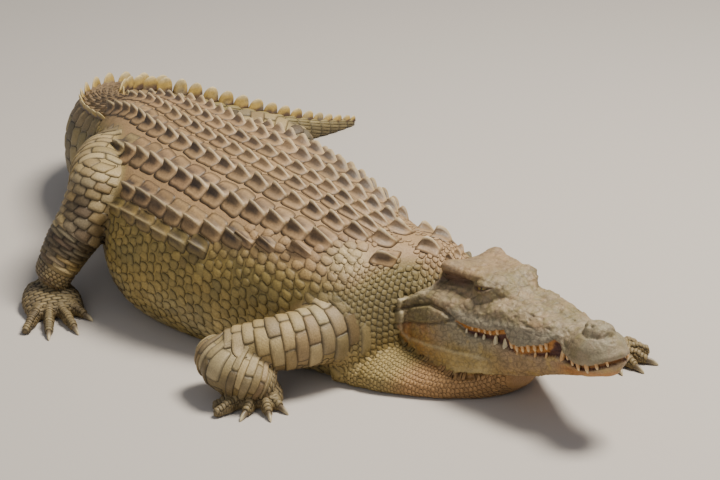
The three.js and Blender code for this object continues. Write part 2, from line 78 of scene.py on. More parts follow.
# Head, in head lengths from the back of the skull: [x, half width, top or bottom, roundness].
FACE = [
    [-0.25, 0.268, 0.165, 2.4], [-0.12, 0.290, 0.185, 2.5], [0.02, 0.282, 0.182, 2.5],
    [0.15, 0.252, 0.176, 2.5], [0.28, 0.220, 0.174, 3.0], [0.40, 0.196, 0.176, 3.4],
    [0.52, 0.174, 0.162, 3.4], [0.63, 0.158, 0.145, 3.2], [0.71, 0.139, 0.128, 2.8],
    [0.77, 0.112, 0.118, 2.4], [0.84, 0.120, 0.126, 2.3], [0.91, 0.113, 0.124, 2.2],
    [0.965, 0.082, 0.102, 2.1], [0.995, 0.030, 0.062, 2.0],
]
TABLE = [
    [-0.07, 0.130, 0.225, 4.0], [0.00, 0.158, 0.268, 8.0], [0.10, 0.150, 0.266, 8.0],
    [0.20, 0.140, 0.262, 7.0], [0.27, 0.132, 0.256, 5.0], [0.32, 0.112, 0.236, 3.5],
    [0.38, 0.080, 0.196, 2.8], [0.47, 0.050, 0.158, 2.4],
]
TABLE_LIFT = 0.06
JAW = [
    [-0.25, 0.264, -0.150, 4.0], [-0.12, 0.292, -0.205, 7.0], [0.02, 0.286, -0.228, 8.0],
    [0.18, 0.256, -0.220, 8.0], [0.35, 0.202, -0.192, 7.0], [0.52, 0.160, -0.154, 5.0],
    [0.70, 0.124, -0.118, 3.0], [0.86, 0.102, -0.085, 2.2], [0.95, 0.070, -0.062, 2.1],
    [0.985, 0.026, -0.040, 2.0],
]
MOUTH = [
    [-0.25, 0.000], [-0.04, 0.020], [0.17, 0.030], [0.30, 0.010], [0.40, 0.028], [0.47, -0.020],
    [0.59, -0.014], [0.70, 0.012], [0.77, 0.004], [0.84, -0.026], [0.92, -0.020], [1.00, 0.012],
]
BROW = {"at": [0.262, 0.100, 0.185], "radii": [46, 27, 32], "turn": 14}
LIDS = {"at": EYE_AT, "radii": [27, 22, 22], "turn": 8}
NOSTRILS = {"at": [0.862, 0, 0.110], "radii": [34, 30, 20]}

# Limbs: rows [x, y, z, half width, half thickness]; a toe is [turn inwards, reach, has a claw].
FORE_TOES = [[52, 80, True], [26, 94, True], [-2, 100, True], [-34, 106, False], [-62, 98, False]]
HIND_TOES = [[32, 150, True], [10, 188, True], [-14, 194, True], [-40, 168, False]]
BENT_TOES = [[46, 70, True], [18, 84, True], [-18, 86, True], [-46, 130, False], [-62, 116, False]]
TURNED_TOES = [[30, 132, True], [8, 182, True], [-12, 192, True], [-30, 188, False]]
LIMBS = [
    {"names": ("upper_arm_right", "forearm_right", "forefoot_right"),
     "upper": [[20, -120, 134, 76, 84], [40, -245, 124, 68, 74],
               [2, -352, 116, 64, 66], [-62, -436, 96, 61, 60]],
     "lower": [[-76, -448, 84, 62, 58], [-28, -450, 76, 70, 61],
               [8, -430, 66, 67, 53], [28, -406, 52, 60, 42]],
     "side": -1, "palm": (24, -410), "heading": -45, "width": 50, "toes": BENT_TOES},
    {"names": ("upper_arm_left", "forearm_left", "forefoot_left"),
     "upper": [[10, 80, 136, 74, 80], [60, 180, 120, 60, 66],
               [118, 256, 92, 53, 54], [152, 288, 74, 49, 48]],
     "lower": [[164, 298, 70, 49, 46], [225, 310, 60, 48, 42],
               [290, 324, 50, 45, 37], [352, 340, 41, 45, 30]],
     "side": 1, "palm": (380, 350), "heading": 25, "width": 48, "toes": FORE_TOES},
    {"names": ("thigh_right", "shank_right", "hindfoot_right"),
     "upper": [[-922, -84, 245, 94, 100], [-878, -180, 266, 90, 96],
               [-802, -262, 284, 82, 84], [-738, -314, 286, 76, 74]],
     "lower": [[-732, -322, 282, 76, 72], [-732, -358, 214, 80, 70],
               [-748, -404, 148, 76, 62], [-764, -446, 76, 76, 48]],
     "side": -1, "palm": (-748, -470), "heading": -22, "width": 72, "toes": TURNED_TOES},
    {"names": ("thigh_left", "shank_left", "hindfoot_left"),
     "upper": [[-905, 92, 240, 76, 86], [-878, 180, 252, 88, 90],
               [-822, 262, 254, 78, 78], [-766, 318, 244, 68, 66]],
     "lower": [[-760, 326, 238, 68, 64], [-770, 362, 178, 65, 58],
               [-792, 396, 122, 58, 52], [-806, 430, 74, 56, 42]],
     "side": 1, "palm": (-798, 456), "heading": 38, "width": 60, "toes": HIND_TOES},
]
ANKLE_REACH = 0.8
PALM_ROWS = [[-0.22, 0.80, 62, -12], [0.10, 1.02, 57, -16], [0.52, 0.96, 30, -12]]
CREST = {"start": 8.25, "merge": 13.8, "end": 18.9, "double": 13, "single": 14,
         "heights": (8, 44, 9)}
TOE_ROWS = [[0.42, 13, 38, -8], [0.66, 13, 34, -8], [0.86, 11.5, 27, -6], [1, 8, 17, -4]]


# ---- Numbers -------------------------------------------------------------------------------------
def row_at(table, u):
    """Values of a table's columns at row positions u, passing smoothly through the rows."""
    table = np.asarray(table, float)
    u = np.atleast_1d(np.asarray(u, float))
    last = len(table) - 1
    i = np.clip(np.floor(u).astype(int), 0, last - 1)
    t = (u - i)[:, None]
    before, here = table[np.maximum(i - 1, 0)], table[i]
    there, after = table[i + 1], table[np.minimum(i + 2, last)]
    leave, reach = (there - before) / 2, (after - here) / 2
    bend = 3 * (there - here) - 2 * leave - reach
    twist = 2 * (here - there) + leave + reach
    return here + t * (leave + t * (bend + t * twist))


def table_at(table, x):
    """Values of a table at values x of its first column."""
    return row_at(table, np.interp(x, [row[0] for row in table], np.arange(len(table))))


def signed_power(value, power):
    return np.sign(value) * np.abs(value) ** power


def smooth(low, high, value):
    """0 below low, 1 above high, and a smooth step between; also falls where low exceeds high."""
    t = np.clip((value - low) / (high - low), 0, 1)
    return t * t * (3 - 2 * t)


def bell(distance, reach):
    return np.exp(-(distance / reach) ** 2)


def circle(sides):
    """Angles of the corners of a ring."""
    return 2 * pi * np.arange(sides) / sides


HASH = (73856093, 19349663, 83492791, 2654435)


def noise(points, size, seed=0):
    """Smooth noise from -1 to 1, with cells of the given size."""
    cell = np.asarray(points) / size
    base = np.floor(cell).astype(np.int64)
    part = cell - base
    part = part * part * (3 - 2 * part)
    total = np.zeros(len(cell))
    for corner in itertools.product((0, 1), repeat=3):
        key = base + corner
        mix = key[:, 0] * HASH[0] ^ key[:, 1] * HASH[1] ^ key[:, 2] * HASH[2] ^ seed * HASH[3]
        mix = (mix ^ (mix >> 13)) * 1274126177 & 0x7fffffff
        value = ((mix ^ (mix >> 15)) & 0xffff) / 32767.5 - 1
        total += value * np.prod(np.where(corner, part, 1 - part), axis=1)
    return total


def rough(points, size, seed=0, octaves=3):
    return sum(noise(points, size / 2 ** i, seed + i) / 2 ** i for i in range(octaves)) / 1.6


def cracks(points, size, seed):
    """0 in the cracks between irregular cells, 1 inside them."""
    place = points / size
    cell = np.floor(place)
    near, next_near = np.full(len(points), 9.0), np.full(len(points), 9.0)
    for offset in np.ndindex(3, 3, 3):
        corner = cell + offset - 1
        hashed = corner @ (12.99, 78.23, 37.72) + seed
        site = np.stack([np.sin(hashed + k) * 4375.85 for k in range(3)], 1) % 1
        away = np.linalg.norm(place - corner - 0.12 - 0.76 * site, axis=1)
        next_near = np.minimum(next_near, np.maximum(near, away))
        near = np.minimum(near, away)
    return smooth(0.02, 0.20, next_near - near)


def unit(vectors):
    return vectors / np.maximum(np.linalg.norm(vectors, axis=-1, keepdims=True), 1e-12)


# ---- Rings: arrays of shape (stations, sides, 3) ---------------------------------------------------
def body_rings(table, us, sides, grow=0.0):
    angle = circle(sides)
    x, y, wide, top, level, bottom, roundness = row_at(table, us).T[:, :, None]
    if table is BODY:
        nape = np.array([np.interp(us, NAPE_EDGES[0], edge) for edge in NAPE_EDGES[1:]])
        share = smooth(1.4, 0.9, us)[:, None]
        wide = wide + ((nape[1] - nape[0])[:, None] / 2 - wide) * share
        y = y + (nape.mean(0)[:, None] - y) * share
    forward = unit((row_at(table, us - 0.02) - row_at(table, us + 0.02))[:, :2])
    out = signed_power(np.sin(angle), 2 / roundness) * (wide + grow)
    rise = signed_power(np.cos(angle), 2 / roundness)
    z = level + rise * np.where(rise > 0, top + grow - level, level + grow - bottom)
    return np.stack([x - forward[:, 1:] * out, y + forward[:, :1] * out, z], -1)


def limb_rings(rows, us, sides, grow=0.0, shift=0.0, share=1.0):
    angle = circle(sides)
    row = row_at(rows, us)
    along = unit((row_at(rows, us + 0.05) - row_at(rows, us - 0.05))[:, :3])
    aside = unit(np.cross([0, 0, 1], along))
    over = np.cross(along, aside)
    centre = row[:, :3] + along * np.reshape(shift, (-1, 1))
    wide = ((row[:, 3] + grow) * share)[:, None, None]
    thick = ((row[:, 4] + grow) * share)[:, None, None]
    return (centre[:, None] + aside[:, None] * np.sin(angle)[:, None] * wide
            + over[:, None] * np.cos(angle)[:, None] * thick)


def shin_rings(rows, sides, grow=0.0):
    """Rings of the lower part of a limb, with domes for ends."""
    dome = np.radians([80, 65, 50, 35, 18])
    knee = (rows[0][3] + grow) * np.sin(dome)
    ankle = (ANKLE_REACH * rows[-1][4] + grow) * np.sin(dome)
    last = len(rows) - 1
    return np.concatenate([
        limb_rings(rows, np.zeros(5), sides, grow, -knee, np.cos(dome)),
        limb_rings(rows, np.linspace(0, last, 40), sides, grow),
        limb_rings(rows, np.full(5, float(last)), sides, grow, ankle[::-1], np.cos(dome)[::-1]),
    ])


def level_rings(centre, heading, rows, sides, grow=0.0):
    """Rings across a level heading; rows are [distance along it, half width, top, bottom]."""
    angle = circle(sides)
    ahead, wide, top, bottom = np.asarray(rows, float).T[:, :, None]
    forward = (cos(radians(heading)), sin(radians(heading)))
    out = np.sin(angle) * (wide + grow)
    middle = (top + bottom) / 2
    return np.stack([centre[0] + forward[0] * ahead - forward[1] * out,
                     centre[1] + forward[1] * ahead + forward[0] * out,
                     middle + np.cos(angle) * (top + grow - middle)], -1)


def to_head(points):
    """From millimetres in the body's frame to head lengths in the head's."""
    return (points - HEAD_AT) @ HEAD_TURN / HEAD_LENGTH


def from_head(points):
    return np.asarray(points) * HEAD_LENGTH @ HEAD_TURN.T + HEAD_AT


HEAD_TURN = np.array(Matrix.Rotation(radians(HEAD_YAW), 3, 'Z')
                     @ Matrix.Rotation(radians(-HEAD_PITCH), 3, 'Y'))


def mouth_at(x):
    return table_at(MOUTH, x)[:, 1]


def head_rings(table, xs, side, grow=0.0, lift=0.0):
    """Half sections over (side 1) or under (side -1) the mouth line, closed across it."""
    half = 32
    angle = pi * np.arange(half + 1) / half
    _, wide, reach, roundness = table_at(table, xs).T[:, :, None]
    shut = mouth_at(xs)[:, None] + side * lift
    out = signed_power(np.cos(angle), 2 / roundness) * (wide + grow)
    rise = np.sin(angle).clip(0) ** (2 / roundness) * (reach + side * grow - shut)
    arch = np.stack([xs[:, None] + 0 * out, out, shut + rise], -1)
    flat = np.linspace(-0.9, 0.9, 16)
    inner = np.stack([xs[:, None] + 0 * flat, flat * wide, shut + 0 * flat * wide], -1)
    rings = from_head(np.concatenate([arch, inner], 1))
    return rings if side > 0 else rings[:, ::-1]


# ---- Closed meshes ---------------------------------------------------------------------------------
def quads(a, b, c, d):
    """Two triangles for each four-sided face with these corners."""
    return np.vstack([np.stack([a, b, c], 1), np.stack([a, c, d], 1)])


def tube(rings):
    """Vertices and triangles of the closed surface through rings, its ends closed by fans."""
    stations, sides = rings.shape[:2]
    a = (np.arange(stations - 1)[:, None] * sides + np.arange(sides)).ravel()
    b = (np.arange(stations - 1)[:, None] * sides + (np.arange(sides) + 1) % sides).ravel()
    faces = [quads(a, b, b + sides, a + sides)]
    count = stations * sides
    i = np.arange(sides)
    j = (i + 1) % sides
    last = (stations - 1) * sides
    faces.append(np.stack([np.full(sides, count), j, i], 1))
    faces.append(np.stack([np.full(sides, count + 1), last + i, last + j], 1))
    points = np.vstack([rings.reshape(-1, 3), rings[0].mean(0), rings[-1].mean(0)])
    return points, np.vstack(faces)


def sphere(steps, sides, gap):
    """Rings of a ball of radius 1, from a gap beside one pole on x to the same at the other."""
    lat = np.linspace(gap, pi - gap, steps)
    lon = circle(sides)
    return np.stack([np.cos(lat)[:, None] + 0 * lon, np.sin(lat)[:, None] * np.cos(lon),
                     np.sin(lat)[:, None] * np.sin(lon)], -1)


def ellipsoid(centre, radii, turn=0.0):
    """An ellipsoid in the head's frame; centre in head lengths, radii in millimetres."""
    turned = sphere(14, 28, 0.04) * radii @ np.array(Matrix.Rotation(radians(turn), 3, 'Z')).T
    return from_head(np.asarray(centre) + turned / HEAD_LENGTH)


def gather(parts):
    """One pair of arrays from several (points, faces) pairs."""
    starts = np.cumsum([0] + [len(points) for points, _ in parts])
    return (np.vstack([points for points, _ in parts]),
            np.vstack([faces + start for (_, faces), start in zip(parts, starts)]))


def to_metres(points):
    """From the dimensions' millimetres to the frame's metres."""
    return (points - ORIGIN) * MM


def to_mm(points):
    return np.asarray(points) / MM + ORIGIN


def placed(name, data):
    """A new object that puts a mesh, a light or a camera into the scene."""
    obj = bpy.data.objects.new(name, data)
    bpy.context.scene.collection.objects.link(obj)
    return obj


def new_object(name, points, faces):
    """A mesh object from points in the dimensions' millimetres."""
    mesh = bpy.data.meshes.new(name)
    mesh.from_pydata(to_metres(points), [], faces.tolist())
    mesh.validate()
    mesh.shade_smooth()
    return placed(name, mesh)


def read(items, name, width, kind=float):
    """One value of every item in a list of a mesh, as rows."""
    values = np.empty(len(items) * width, kind)
    items.foreach_get(name, values)
    return values.reshape(-1, width)


def mesh_points(mesh):
    return to_mm(read(mesh.vertices, "co", 3))


def mesh_normals(mesh):
    return read(mesh.vertex_normals, "vector", 3)


def mesh_edges(mesh):
    return read(mesh.edges, "vertices", 2, np.int32)


def set_points(mesh, points):
    mesh.vertices.foreach_set("co", to_metres(points).ravel())
    mesh.update()


def along_tube(values, sides):
    """A tube's vertices given one value per ring, and its two ends the first and the last."""
    return np.append(np.repeat(values, sides), [values[0], values[-1]])


# ---- The skin --------------------------------------------------------------------------------------
def body_tubes():
    """Closed surfaces of the whole animal, inside its outline by the coat's depth."""
    rings = [
        body_rings(BODY, np.linspace(0, len(BODY) - 1, 240), 96, -COAT),
        body_rings(THROAT, np.linspace(0, len(THROAT) - 1, 80), 80, -COAT),
    ]
    xs = np.linspace(-0.25, 0.965, 100)
    for table, side in ((FACE, 1), (JAW, -1)):
        stations = np.append(xs, table[-1][0])
        rings.append(head_rings(table, stations, side, -FACE_COAT / HEAD_LENGTH, -0.004))
    rings.append(head_rings(TABLE, np.linspace(-0.07, 0.47, 70), 1, 0, TABLE_LIFT))
    for side in (-1, 1):
        for swelling in (BROW, LIDS):
            at = np.array(swelling["at"]) * (1, side, 1)
            rings.append(ellipsoid(at, swelling["radii"], -side * swelling["turn"]))
    rings.append(ellipsoid(NOSTRILS["at"], NOSTRILS["radii"]))
    for limb in LIMBS:
        us = np.linspace(0, 3, 40)
        rings.append(limb_rings(limb["upper"], us, 48, -COAT)[:, ::-1])
        rings.append(shin_rings(limb["lower"], 48, -COAT)[:, ::-1])
        rings += foot_rings(limb)
    for ring in rings:
        ring[..., 2] = np.maximum(ring[..., 2], GROUND)
    return [tube(ring) for ring in rings]


def toe_rows(length):
    us = np.linspace(0, len(TOE_ROWS) - 1, 24)
    rows = row_at(TOE_ROWS, us)
    knuckles = np.cos(2 * pi * (us - 0.25) / 1.1)
    rows[:, 0] *= length
    rows[:, 1] *= 1 + 0.10 * knuckles
    rows[:, 2] *= 1 + 0.06 * knuckles
    return rows


def palm_rows(limb, steps):
    rows = row_at(PALM_ROWS, np.linspace(0, len(PALM_ROWS) - 1, steps))
    rows[:, 0] *= limb["toes"][1][1]
    rows[:, 1] *= limb["width"]
    return rows


def toe_heading(limb, turn):
    return limb["heading"] - limb["side"] * turn


def foot_rings(limb):
    rings = [level_rings(limb["palm"], limb["heading"], palm_rows(limb, 20), 40, -FACE_COAT)]
    for turn, length, _ in limb["toes"]:
        heading = toe_heading(limb, turn)
        rings.append(level_rings(limb["palm"], heading, toe_rows(length), 20, -FACE_COAT / 2))
    return rings


def relax(points, edges, weight, rounds, back=0.0):
    """Move each point towards the mean of its neighbours, and back by a share against shrinking."""
    count = np.bincount(edges.ravel(), minlength=len(points)).clip(1)
    a, b = edges.T
    for step in range(rounds):
        mean = np.stack([np.bincount(a, points[b, k], len(points))
                         + np.bincount(b, points[a, k], len(points)) for k in range(3)], 1)
        move = (mean / count[:, None] - points) * np.reshape(weight, (-1, 1))
        points = points + (move if step % 2 == 0 or not back else -back * move)
    return points


def remeshed():
    """The tubes made into one closed surface, evened out, with a finer net over the head."""
    points, faces = gather(body_tubes())
    rough_skin = new_object("skin_draft", points, faces)
    remesh = rough_skin.modifiers.new("remesh", 'REMESH')
    remesh.mode = 'VOXEL'
    remesh.voxel_size = VOXEL * MM
    graph = bpy.context.evaluated_depsgraph_get()
    mesh = bpy.data.meshes.new_from_object(rough_skin.evaluated_get(graph))
    bpy.data.objects.remove(rough_skin)
    edges = mesh_edges(mesh)
    points = relax(mesh_points(mesh), edges, 0.5, 12, 1.04)
    joints = [(row[:3], row[3] * 1.5) for limb in LIMBS
              for row in (limb["upper"][0], limb["upper"][1], limb["upper"][3], limb["lower"][0])]
    soft = np.zeros(len(points))
    for centre, reach in joints:
        soft = np.maximum(soft, smooth(1.0, 0.5, np.linalg.norm(points - centre, axis=1) / reach))
    head = to_head(points)
    nape = smooth(0.0, -0.10, head[:, 0]) * smooth(-0.5, -0.35, head[:, 0])
    soft = np.maximum(soft, 0.6 * nape * smooth(0.02, 0.1, head[:, 2]))
    points = relax(points, edges, 0.5 * soft, 30)
    set_points(mesh, points)
    refine(mesh, lambda head: (head[:, 0] > -0.30) & (head[:, 2] > -0.2))
    return mesh


def refine(mesh, chosen):
    """Halve the net where chosen says so."""
    net = bmesh.new()
    net.from_mesh(mesh)
    net.verts.ensure_lookup_table()
    inside = chosen(to_head(mesh_points(mesh)))
    edges = [e for e in net.edges if inside[e.verts[0].index] and inside[e.verts[1].index]]
    bmesh.ops.subdivide_edges(net, edges=edges, cuts=1, use_grid_fill=True, smooth=0.0)
    bmesh.ops.triangulate(net, faces=[f for f in net.faces if len(f.verts) > 4])
    net.to_mesh(mesh)
    net.free()
    points = mesh_points(mesh)
    set_points(mesh, relax(points, mesh_edges(mesh), 0.35 * chosen(to_head(points)), 3))


# ---- The face, in head lengths ---------------------------------------------------------------------
# Edges of the mouth: the lip above it and the lower jaw's below it.
LIP = [
    [0.17, 0.060], [0.20, 0.050], [0.24, 0.042], [0.30, 0.041], [0.36, 0.042], [0.41, 0.056],
    [0.445, 0.066], [0.465, 0.034], [0.49, 0.010], [0.53, 0.006], [0.60, 0.024], [0.67, 0.042],
    [0.71, 0.076], [0.735, 0.060], [0.755, 0.022], [0.79, 0.000], [0.85, -0.006], [0.91, 0.002],
    [0.96, 0.018], [1.0, 0.032],
]
SILL = [
    [0.17, 0.052], [0.20, 0.034], [0.235, 0.014], [0.26, 0.005], [0.32, 0.002], [0.38, -0.005],
    [0.44, -0.018], [0.50, -0.034], [0.60, -0.028], [0.66, -0.016], [0.72, -0.004], [0.78, -0.024],
    [0.85, -0.030], [0.92, -0.018], [0.97, 0.000], [1.0, 0.014],
]
# Creases over and under the jaw muscle.
MUSCLE_TOP = [(-0.25, -0.015), (-0.16, 0.045), (-0.08, 0.074), (0.01, 0.099), (0.09, 0.088),
              (0.165, 0.060)]
MUSCLE_BASE = [(-0.23, -0.040), (-0.10, -0.010), (0.036, 0.015), (0.14, 0.050), (0.165, 0.060)]
# The head's border against the neck and the throat, round a point in the cheek: [degrees, distance].
CHEEK = (0.05, 0.0)
NO_BORDER = 1.3             # the distance where there is none, past the snout's tip
HEAD_SCALE = 0.026          # size of the cheek's and jaw's scales, in head lengths
BORDER = [
    [112, 0.300], [118, 0.226], [122.5, 0.187], [146, 0.200], [174, 0.308], [187, 0.325], [198, 0.318],
    [210, 0.288], [223, 0.259], [234, 0.247], [254, 0.216], [284, 0.206], [307, 0.234], [325, 0.305],
    [337, 0.402], [344, 0.509], [350, 0.90], [355, 1.3],
]
# Half widths along the head: of the whole, to the skull table's edge and to the snout's ridges.
HEAD_SIDE = [(-0.25, 0.278), (-0.12, 0.303), (0.02, 0.297), (0.18, 0.267), (0.35, 0.214),
             (0.52, 0.176), (0.70, 0.142)]
TABLE_EDGE = [(0.0, 0.150), (0.10, 0.143), (0.20, 0.133), (0.27, 0.122), (0.33, 0.105)]
SNOUT_RIDGE = [(0.30, 0.088), (0.40, 0.062), (0.55, 0.050), (0.75, 0.045)]
# The ear's slit and the fold under it.
EAR = [(-0.02, 0.182), (0.06, 0.196), (0.12, 0.205), (0.18, 0.210)]
EAR_FOLD = [(-0.05, 0.158), (0.04, 0.170), (0.13, 0.183), (0.17, 0.180)]
# Swellings over the great teeth, and hollows: [millimetres, place along, reach, place up, reach].
SWELLINGS = [
    [6.5, 0.52, 0.06, 0.050, 0.055], [4.5, 0.325, 0.07, 0.072, 0.030],
    [-5.0, 0.733, 0.022, 0.05, 0.05], [3.5, 0.87, 0.06, 0.045, 0.045],
    [-2.5, 0.445, 0.020, 0.09, 0.04],
]


def line_at(line, x):
    return np.interp(x, *zip(*line))


def line_distance(x, z, line):
    """Distance in the (x, z) plane to a polyline."""
    line = np.asarray(line, float)
    best = np.full(len(x), 9.0)
    for a, b in zip(line[:-1], line[1:]):
        step = b - a
        t = np.clip(((x - a[0]) * step[0] + (z - a[1]) * step[1]) / (step @ step), 0, 1)
        best = np.minimum(best, np.hypot(x - a[0] - t * step[0], z - a[1] - t * step[1]))
    return best


def inside_head(x, y, z):
    """How far inside the head's border a point is, in head lengths."""
    angle = np.degrees(np.arctan2(z - CHEEK[1], x - CHEEK[0])) % 360
    reach = np.interp(angle, *zip(*BORDER), NO_BORDER, NO_BORDER)
    wide = line_at(HEAD_SIDE, x) + 0.035 * smooth(-0.11, -0.05, z)
    return np.minimum(reach - np.hypot(x - CHEEK[0], z - CHEEK[1]), wide - np.abs(y))


def lid_gap(x, z):
    """Above 0 inside the slit between the eyelids, in head lengths."""
    along = (x - EYE_AT[0]) / 0.050
    return 0.0075 * (1 - along ** 2) - np.abs(z - EYE_AT[2] - 0.004 - 0.10 * (x - EYE_AT[0]))


def facing_out(turned, soft):
    """1 where the head's surface looks to a side or ahead, from 0 where it looks up or down."""
    return np.maximum(smooth(0.1, soft, np.abs(turned[:, 1])), smooth(0.3, 0.7, turned[:, 0]))


def ear_hollow(x, ay, z):
    return (smooth(0.168, 0.180, z) * smooth(0.224, 0.212, z) * smooth(-0.055, -0.03, x)
            * smooth(0.20, 0.14, x) * smooth(0.09, 0.11, ay))


def bone_seams(points):
    """1 in the cracks of the hide over the skull's bones."""
    return 1 - cracks(to_head(points), 0.055, 14)


def scale_seams(points, x, z):
    """1 in the seams between the scales of the cheek and the jaw."""
    bony = smooth(0.07, 0.12, z) * smooth(-0.02, 0.10, x)
    split = 1 - cracks(to_head(points) / (1.25, 1, 1), HEAD_SCALE, 4)
    return split * (1 - bony) * smooth(0.86, 0.78, x)


def sculpt_face(points, normals):
    """Displacement of the head's points in millimetres, along their normals."""
    x, y, z = to_head(points).T
    ay = np.abs(y)
    turned = normals @ HEAD_TURN
    lateral = facing_out(turned, 0.5)
    # mouth: a sunken band between the lip and the lower jaw, and a rolled edge on both
    over, under = z - line_at(LIP, x), z - line_at(SILL, x)
    mouth = 3.2 * bell(over - 0.018, 0.016) + 2.2 * bell(under + 0.014, 0.012)
    mouth -= 8.0 * smooth(0.003, -0.004, over) * smooth(-0.004, 0.003, under)
    mouth -= 2.0 * bell(over - 0.052, 0.012) * smooth(0.46, 0.40, x)
    out = mouth * smooth(0.168, 0.20, x) * lateral
    # swellings of the upper jaw over its great teeth, the waist behind the nostrils
    for height, ahead, length, up, reach in SWELLINGS:
        out += height * bell(x - ahead, length) * bell(z - up, reach) * lateral
    out += 6.0 * smooth(0.75, 0.80, x) * smooth(1.0, 0.9, x) * smooth(0.02, 0.08, z)
    # jaw muscle: an almond between two creases
    above, below = z - line_at(MUSCLE_TOP, x), z - line_at(MUSCLE_BASE, x)
    within = smooth(-0.004, 0.014, below) * smooth(0.004, -0.014, above) * smooth(-0.24, -0.16, x)
    cheek = 5.0 * within + 4.0 * bell(above - 0.034, 0.022) * smooth(-0.26, -0.18, x)
    cheek -= 7.5 * bell(line_distance(x, z, MUSCLE_TOP), 0.009)
    cheek -= 4.0 * bell(line_distance(x, z, MUSCLE_BASE), 0.006)
    out += cheek * smooth(0.185, 0.13, x) * lateral
    # the head stands out from the neck and the throat by a rolled edge over a groove
    rim = inside_head(x, y, z)
    side = np.maximum(lateral, smooth(-0.2, -0.6, turned[:, 2]))
    border = side * smooth(0.66, 0.52, x) * smooth(0.19, 0.16, z)
    out += (4.5 * bell(rim - 0.016, 0.016) - 8.0 * bell(rim + 0.012, 0.012)) * border
    # skull table: sharp raised edge and corner, hollow middle, and the ear's slit under a flap
    table = smooth(-0.06, -0.03, x) * smooth(0.33, 0.26, x) * smooth(0.20, 0.225, z)
    out += 4.0 * table * bell(ay - line_at(TABLE_EDGE, x), 0.016) * smooth(0.0, 0.4, turned[:, 2])
    out -= 4.0 * table * smooth(0.3, 0.8, turned[:, 2]) * bell(ay, 0.075)
    corner = bell(np.hypot(x - 0.005, ay - 0.142), 0.045) * smooth(0.20, 0.225, z)
    out += 9.0 * corner * smooth(0.0, 0.5, turned[:, 2])
    undercut = smooth(-0.05, 0.02, x) * smooth(0.26, 0.20, x) * (ay > 0.09)
    out -= 3.5 * bell(z - 0.222, 0.012) * undercut * lateral
    out -= 6.0 * bell(line_distance(x, z, EAR), 0.007) * lateral * smooth(0.09, 0.11, ay)
    out -= 7.0 * ear_hollow(x, ay, z) * lateral
    out += 3.0 * bell(line_distance(x, z, EAR_FOLD), 0.010) * smooth(0.08, 0.12, ay)
    # eye: lids part along a slit and swell round it
    gap = lid_gap(x, z)
    near = smooth(0.075, 0.10, ay)
    out -= 9.0 * smooth(-0.002, 0.003, gap) * near * smooth(0.2, 0.5, np.abs(turned[:, 1]))
    lids = 1.8 * bell(gap + 0.008, 0.006) - 2.0 * bell(gap + 0.028, 0.006)
    out += lids * near * lateral * bell(x - EYE_AT[0], 0.07)
    # bony snout: ridges from the brows, a furrow between them
    bone = smooth(0.1, 0.16, z) * smooth(0.2, 0.3, x) * smooth(0.84, 0.76, x)
    out += 3.0 * bell(ay - line_at(SNOUT_RIDGE, x), 0.016) * bone * smooth(0.62, 0.45, x)
    out -= 2.0 * bell(ay, 0.018) * bone
    # nostrils: a raised round plate with two crescent slits
    plate = np.hypot((x - 0.868) / 1.15, y) / 0.058
    slit = bell(np.hypot((x - 0.862) / 0.8, ay - 0.014) - 0.022, 0.0055) * smooth(0.850, 0.862, x)
    nostril = 2.2 * smooth(1.0, 0.75, plate) - 2.2 * bell(plate - 1.08, 0.12) - 7.0 * slit
    out += nostril * smooth(0.085, 0.105, z)
    # knobs, pits and wrinkles
    rugose = smooth(0.06, 0.11, z) * smooth(0.02, 0.12, x)
    knobs = 3.0 * (rough(points, 19, 3) + 0.5 * noise(points, 8, 9)) * (1 - 0.5 * smooth(0.84, 0.9, x))
    pits = 2.6 * smooth(0.40, 0.70, noise(points, 10, 21)) * smooth(0.28, 0.4, x)
    out += rugose * (knobs + 3.4 * rough(points, 36, 8) * bone - 1.3 * bone_seams(points) - pits)
    out -= 1.5 * scale_seams(points, x, z)
    out += (1 - rugose) * 0.7 * noise(points, 12, 5)
    return out * smooth(-0.05, -0.01, rim)


def sculpt_hide(points, normals):
    """Folds and wrinkles of the rest of the hide, in millimetres."""
    x, y, z = to_head(points).T
    outside = smooth(0.0, -0.02, inside_head(x, y, z))
    out = 0.8 * rough(points, 24, 40) * outside
    # a fold down the neck in front of the shoulder, and shallow ones behind the jaw
    side = smooth(0.15, 0.5, np.abs(normals[:, 1])) * smooth(240, 170, points[:, 2])
    for place, depth, reach in ((118, 4.5, 9), (76, 2.5, 7)):
        line = place - 0.12 * (points[:, 2] - 120) + 6 * noise(points, 60, 51)
        out -= depth * bell(points[:, 0] - line, reach) * side * (np.abs(points[:, 1]) > 120)
    return out * (1 - limb_share(points)[0])


# ---- Where the limbs are ---------------------------------------------------------------------------
def beside(points, rows):
    """Distance from a limb's middle line, as a share of its width there."""
    best = np.full(len(points), 9.0)
    for a, b in zip(rows[:-1], rows[1:]):
        a, b = np.array(a, float), np.array(b, float)
        step = b[:3] - a[:3]
        t = np.clip((points - a[:3]) @ step / (step @ step), 0, 1)
        wide = a[3] + (b[3] - a[3]) * t
        best = np.minimum(best, np.linalg.norm(points - a[:3] - t[:, None] * step, axis=1) / wide)
    return best


def limb_share(points):
    """Share of each point that is limb, hind limb and foot."""
    share = np.zeros((3, len(points)))
    for i, limb in enumerate(LIMBS):
        away = np.minimum(beside(points, limb["upper"][1:]), beside(points, limb["lower"]))
        here = smooth(1.35, 1.08, away)
        reach = max(toe[1] for toe in limb["toes"])
        foot = smooth(1.15, 1.0, np.hypot(*(points[:, :2] - limb["palm"]).T) / reach)
        foot *= smooth(95, 70, points[:, 2]) * smooth(0.75, 1.0, beside(points, limb["lower"][:-1]))
        here = np.maximum(here, foot)
        share = np.maximum(share, [here, here * (i > 1), foot])
    return share


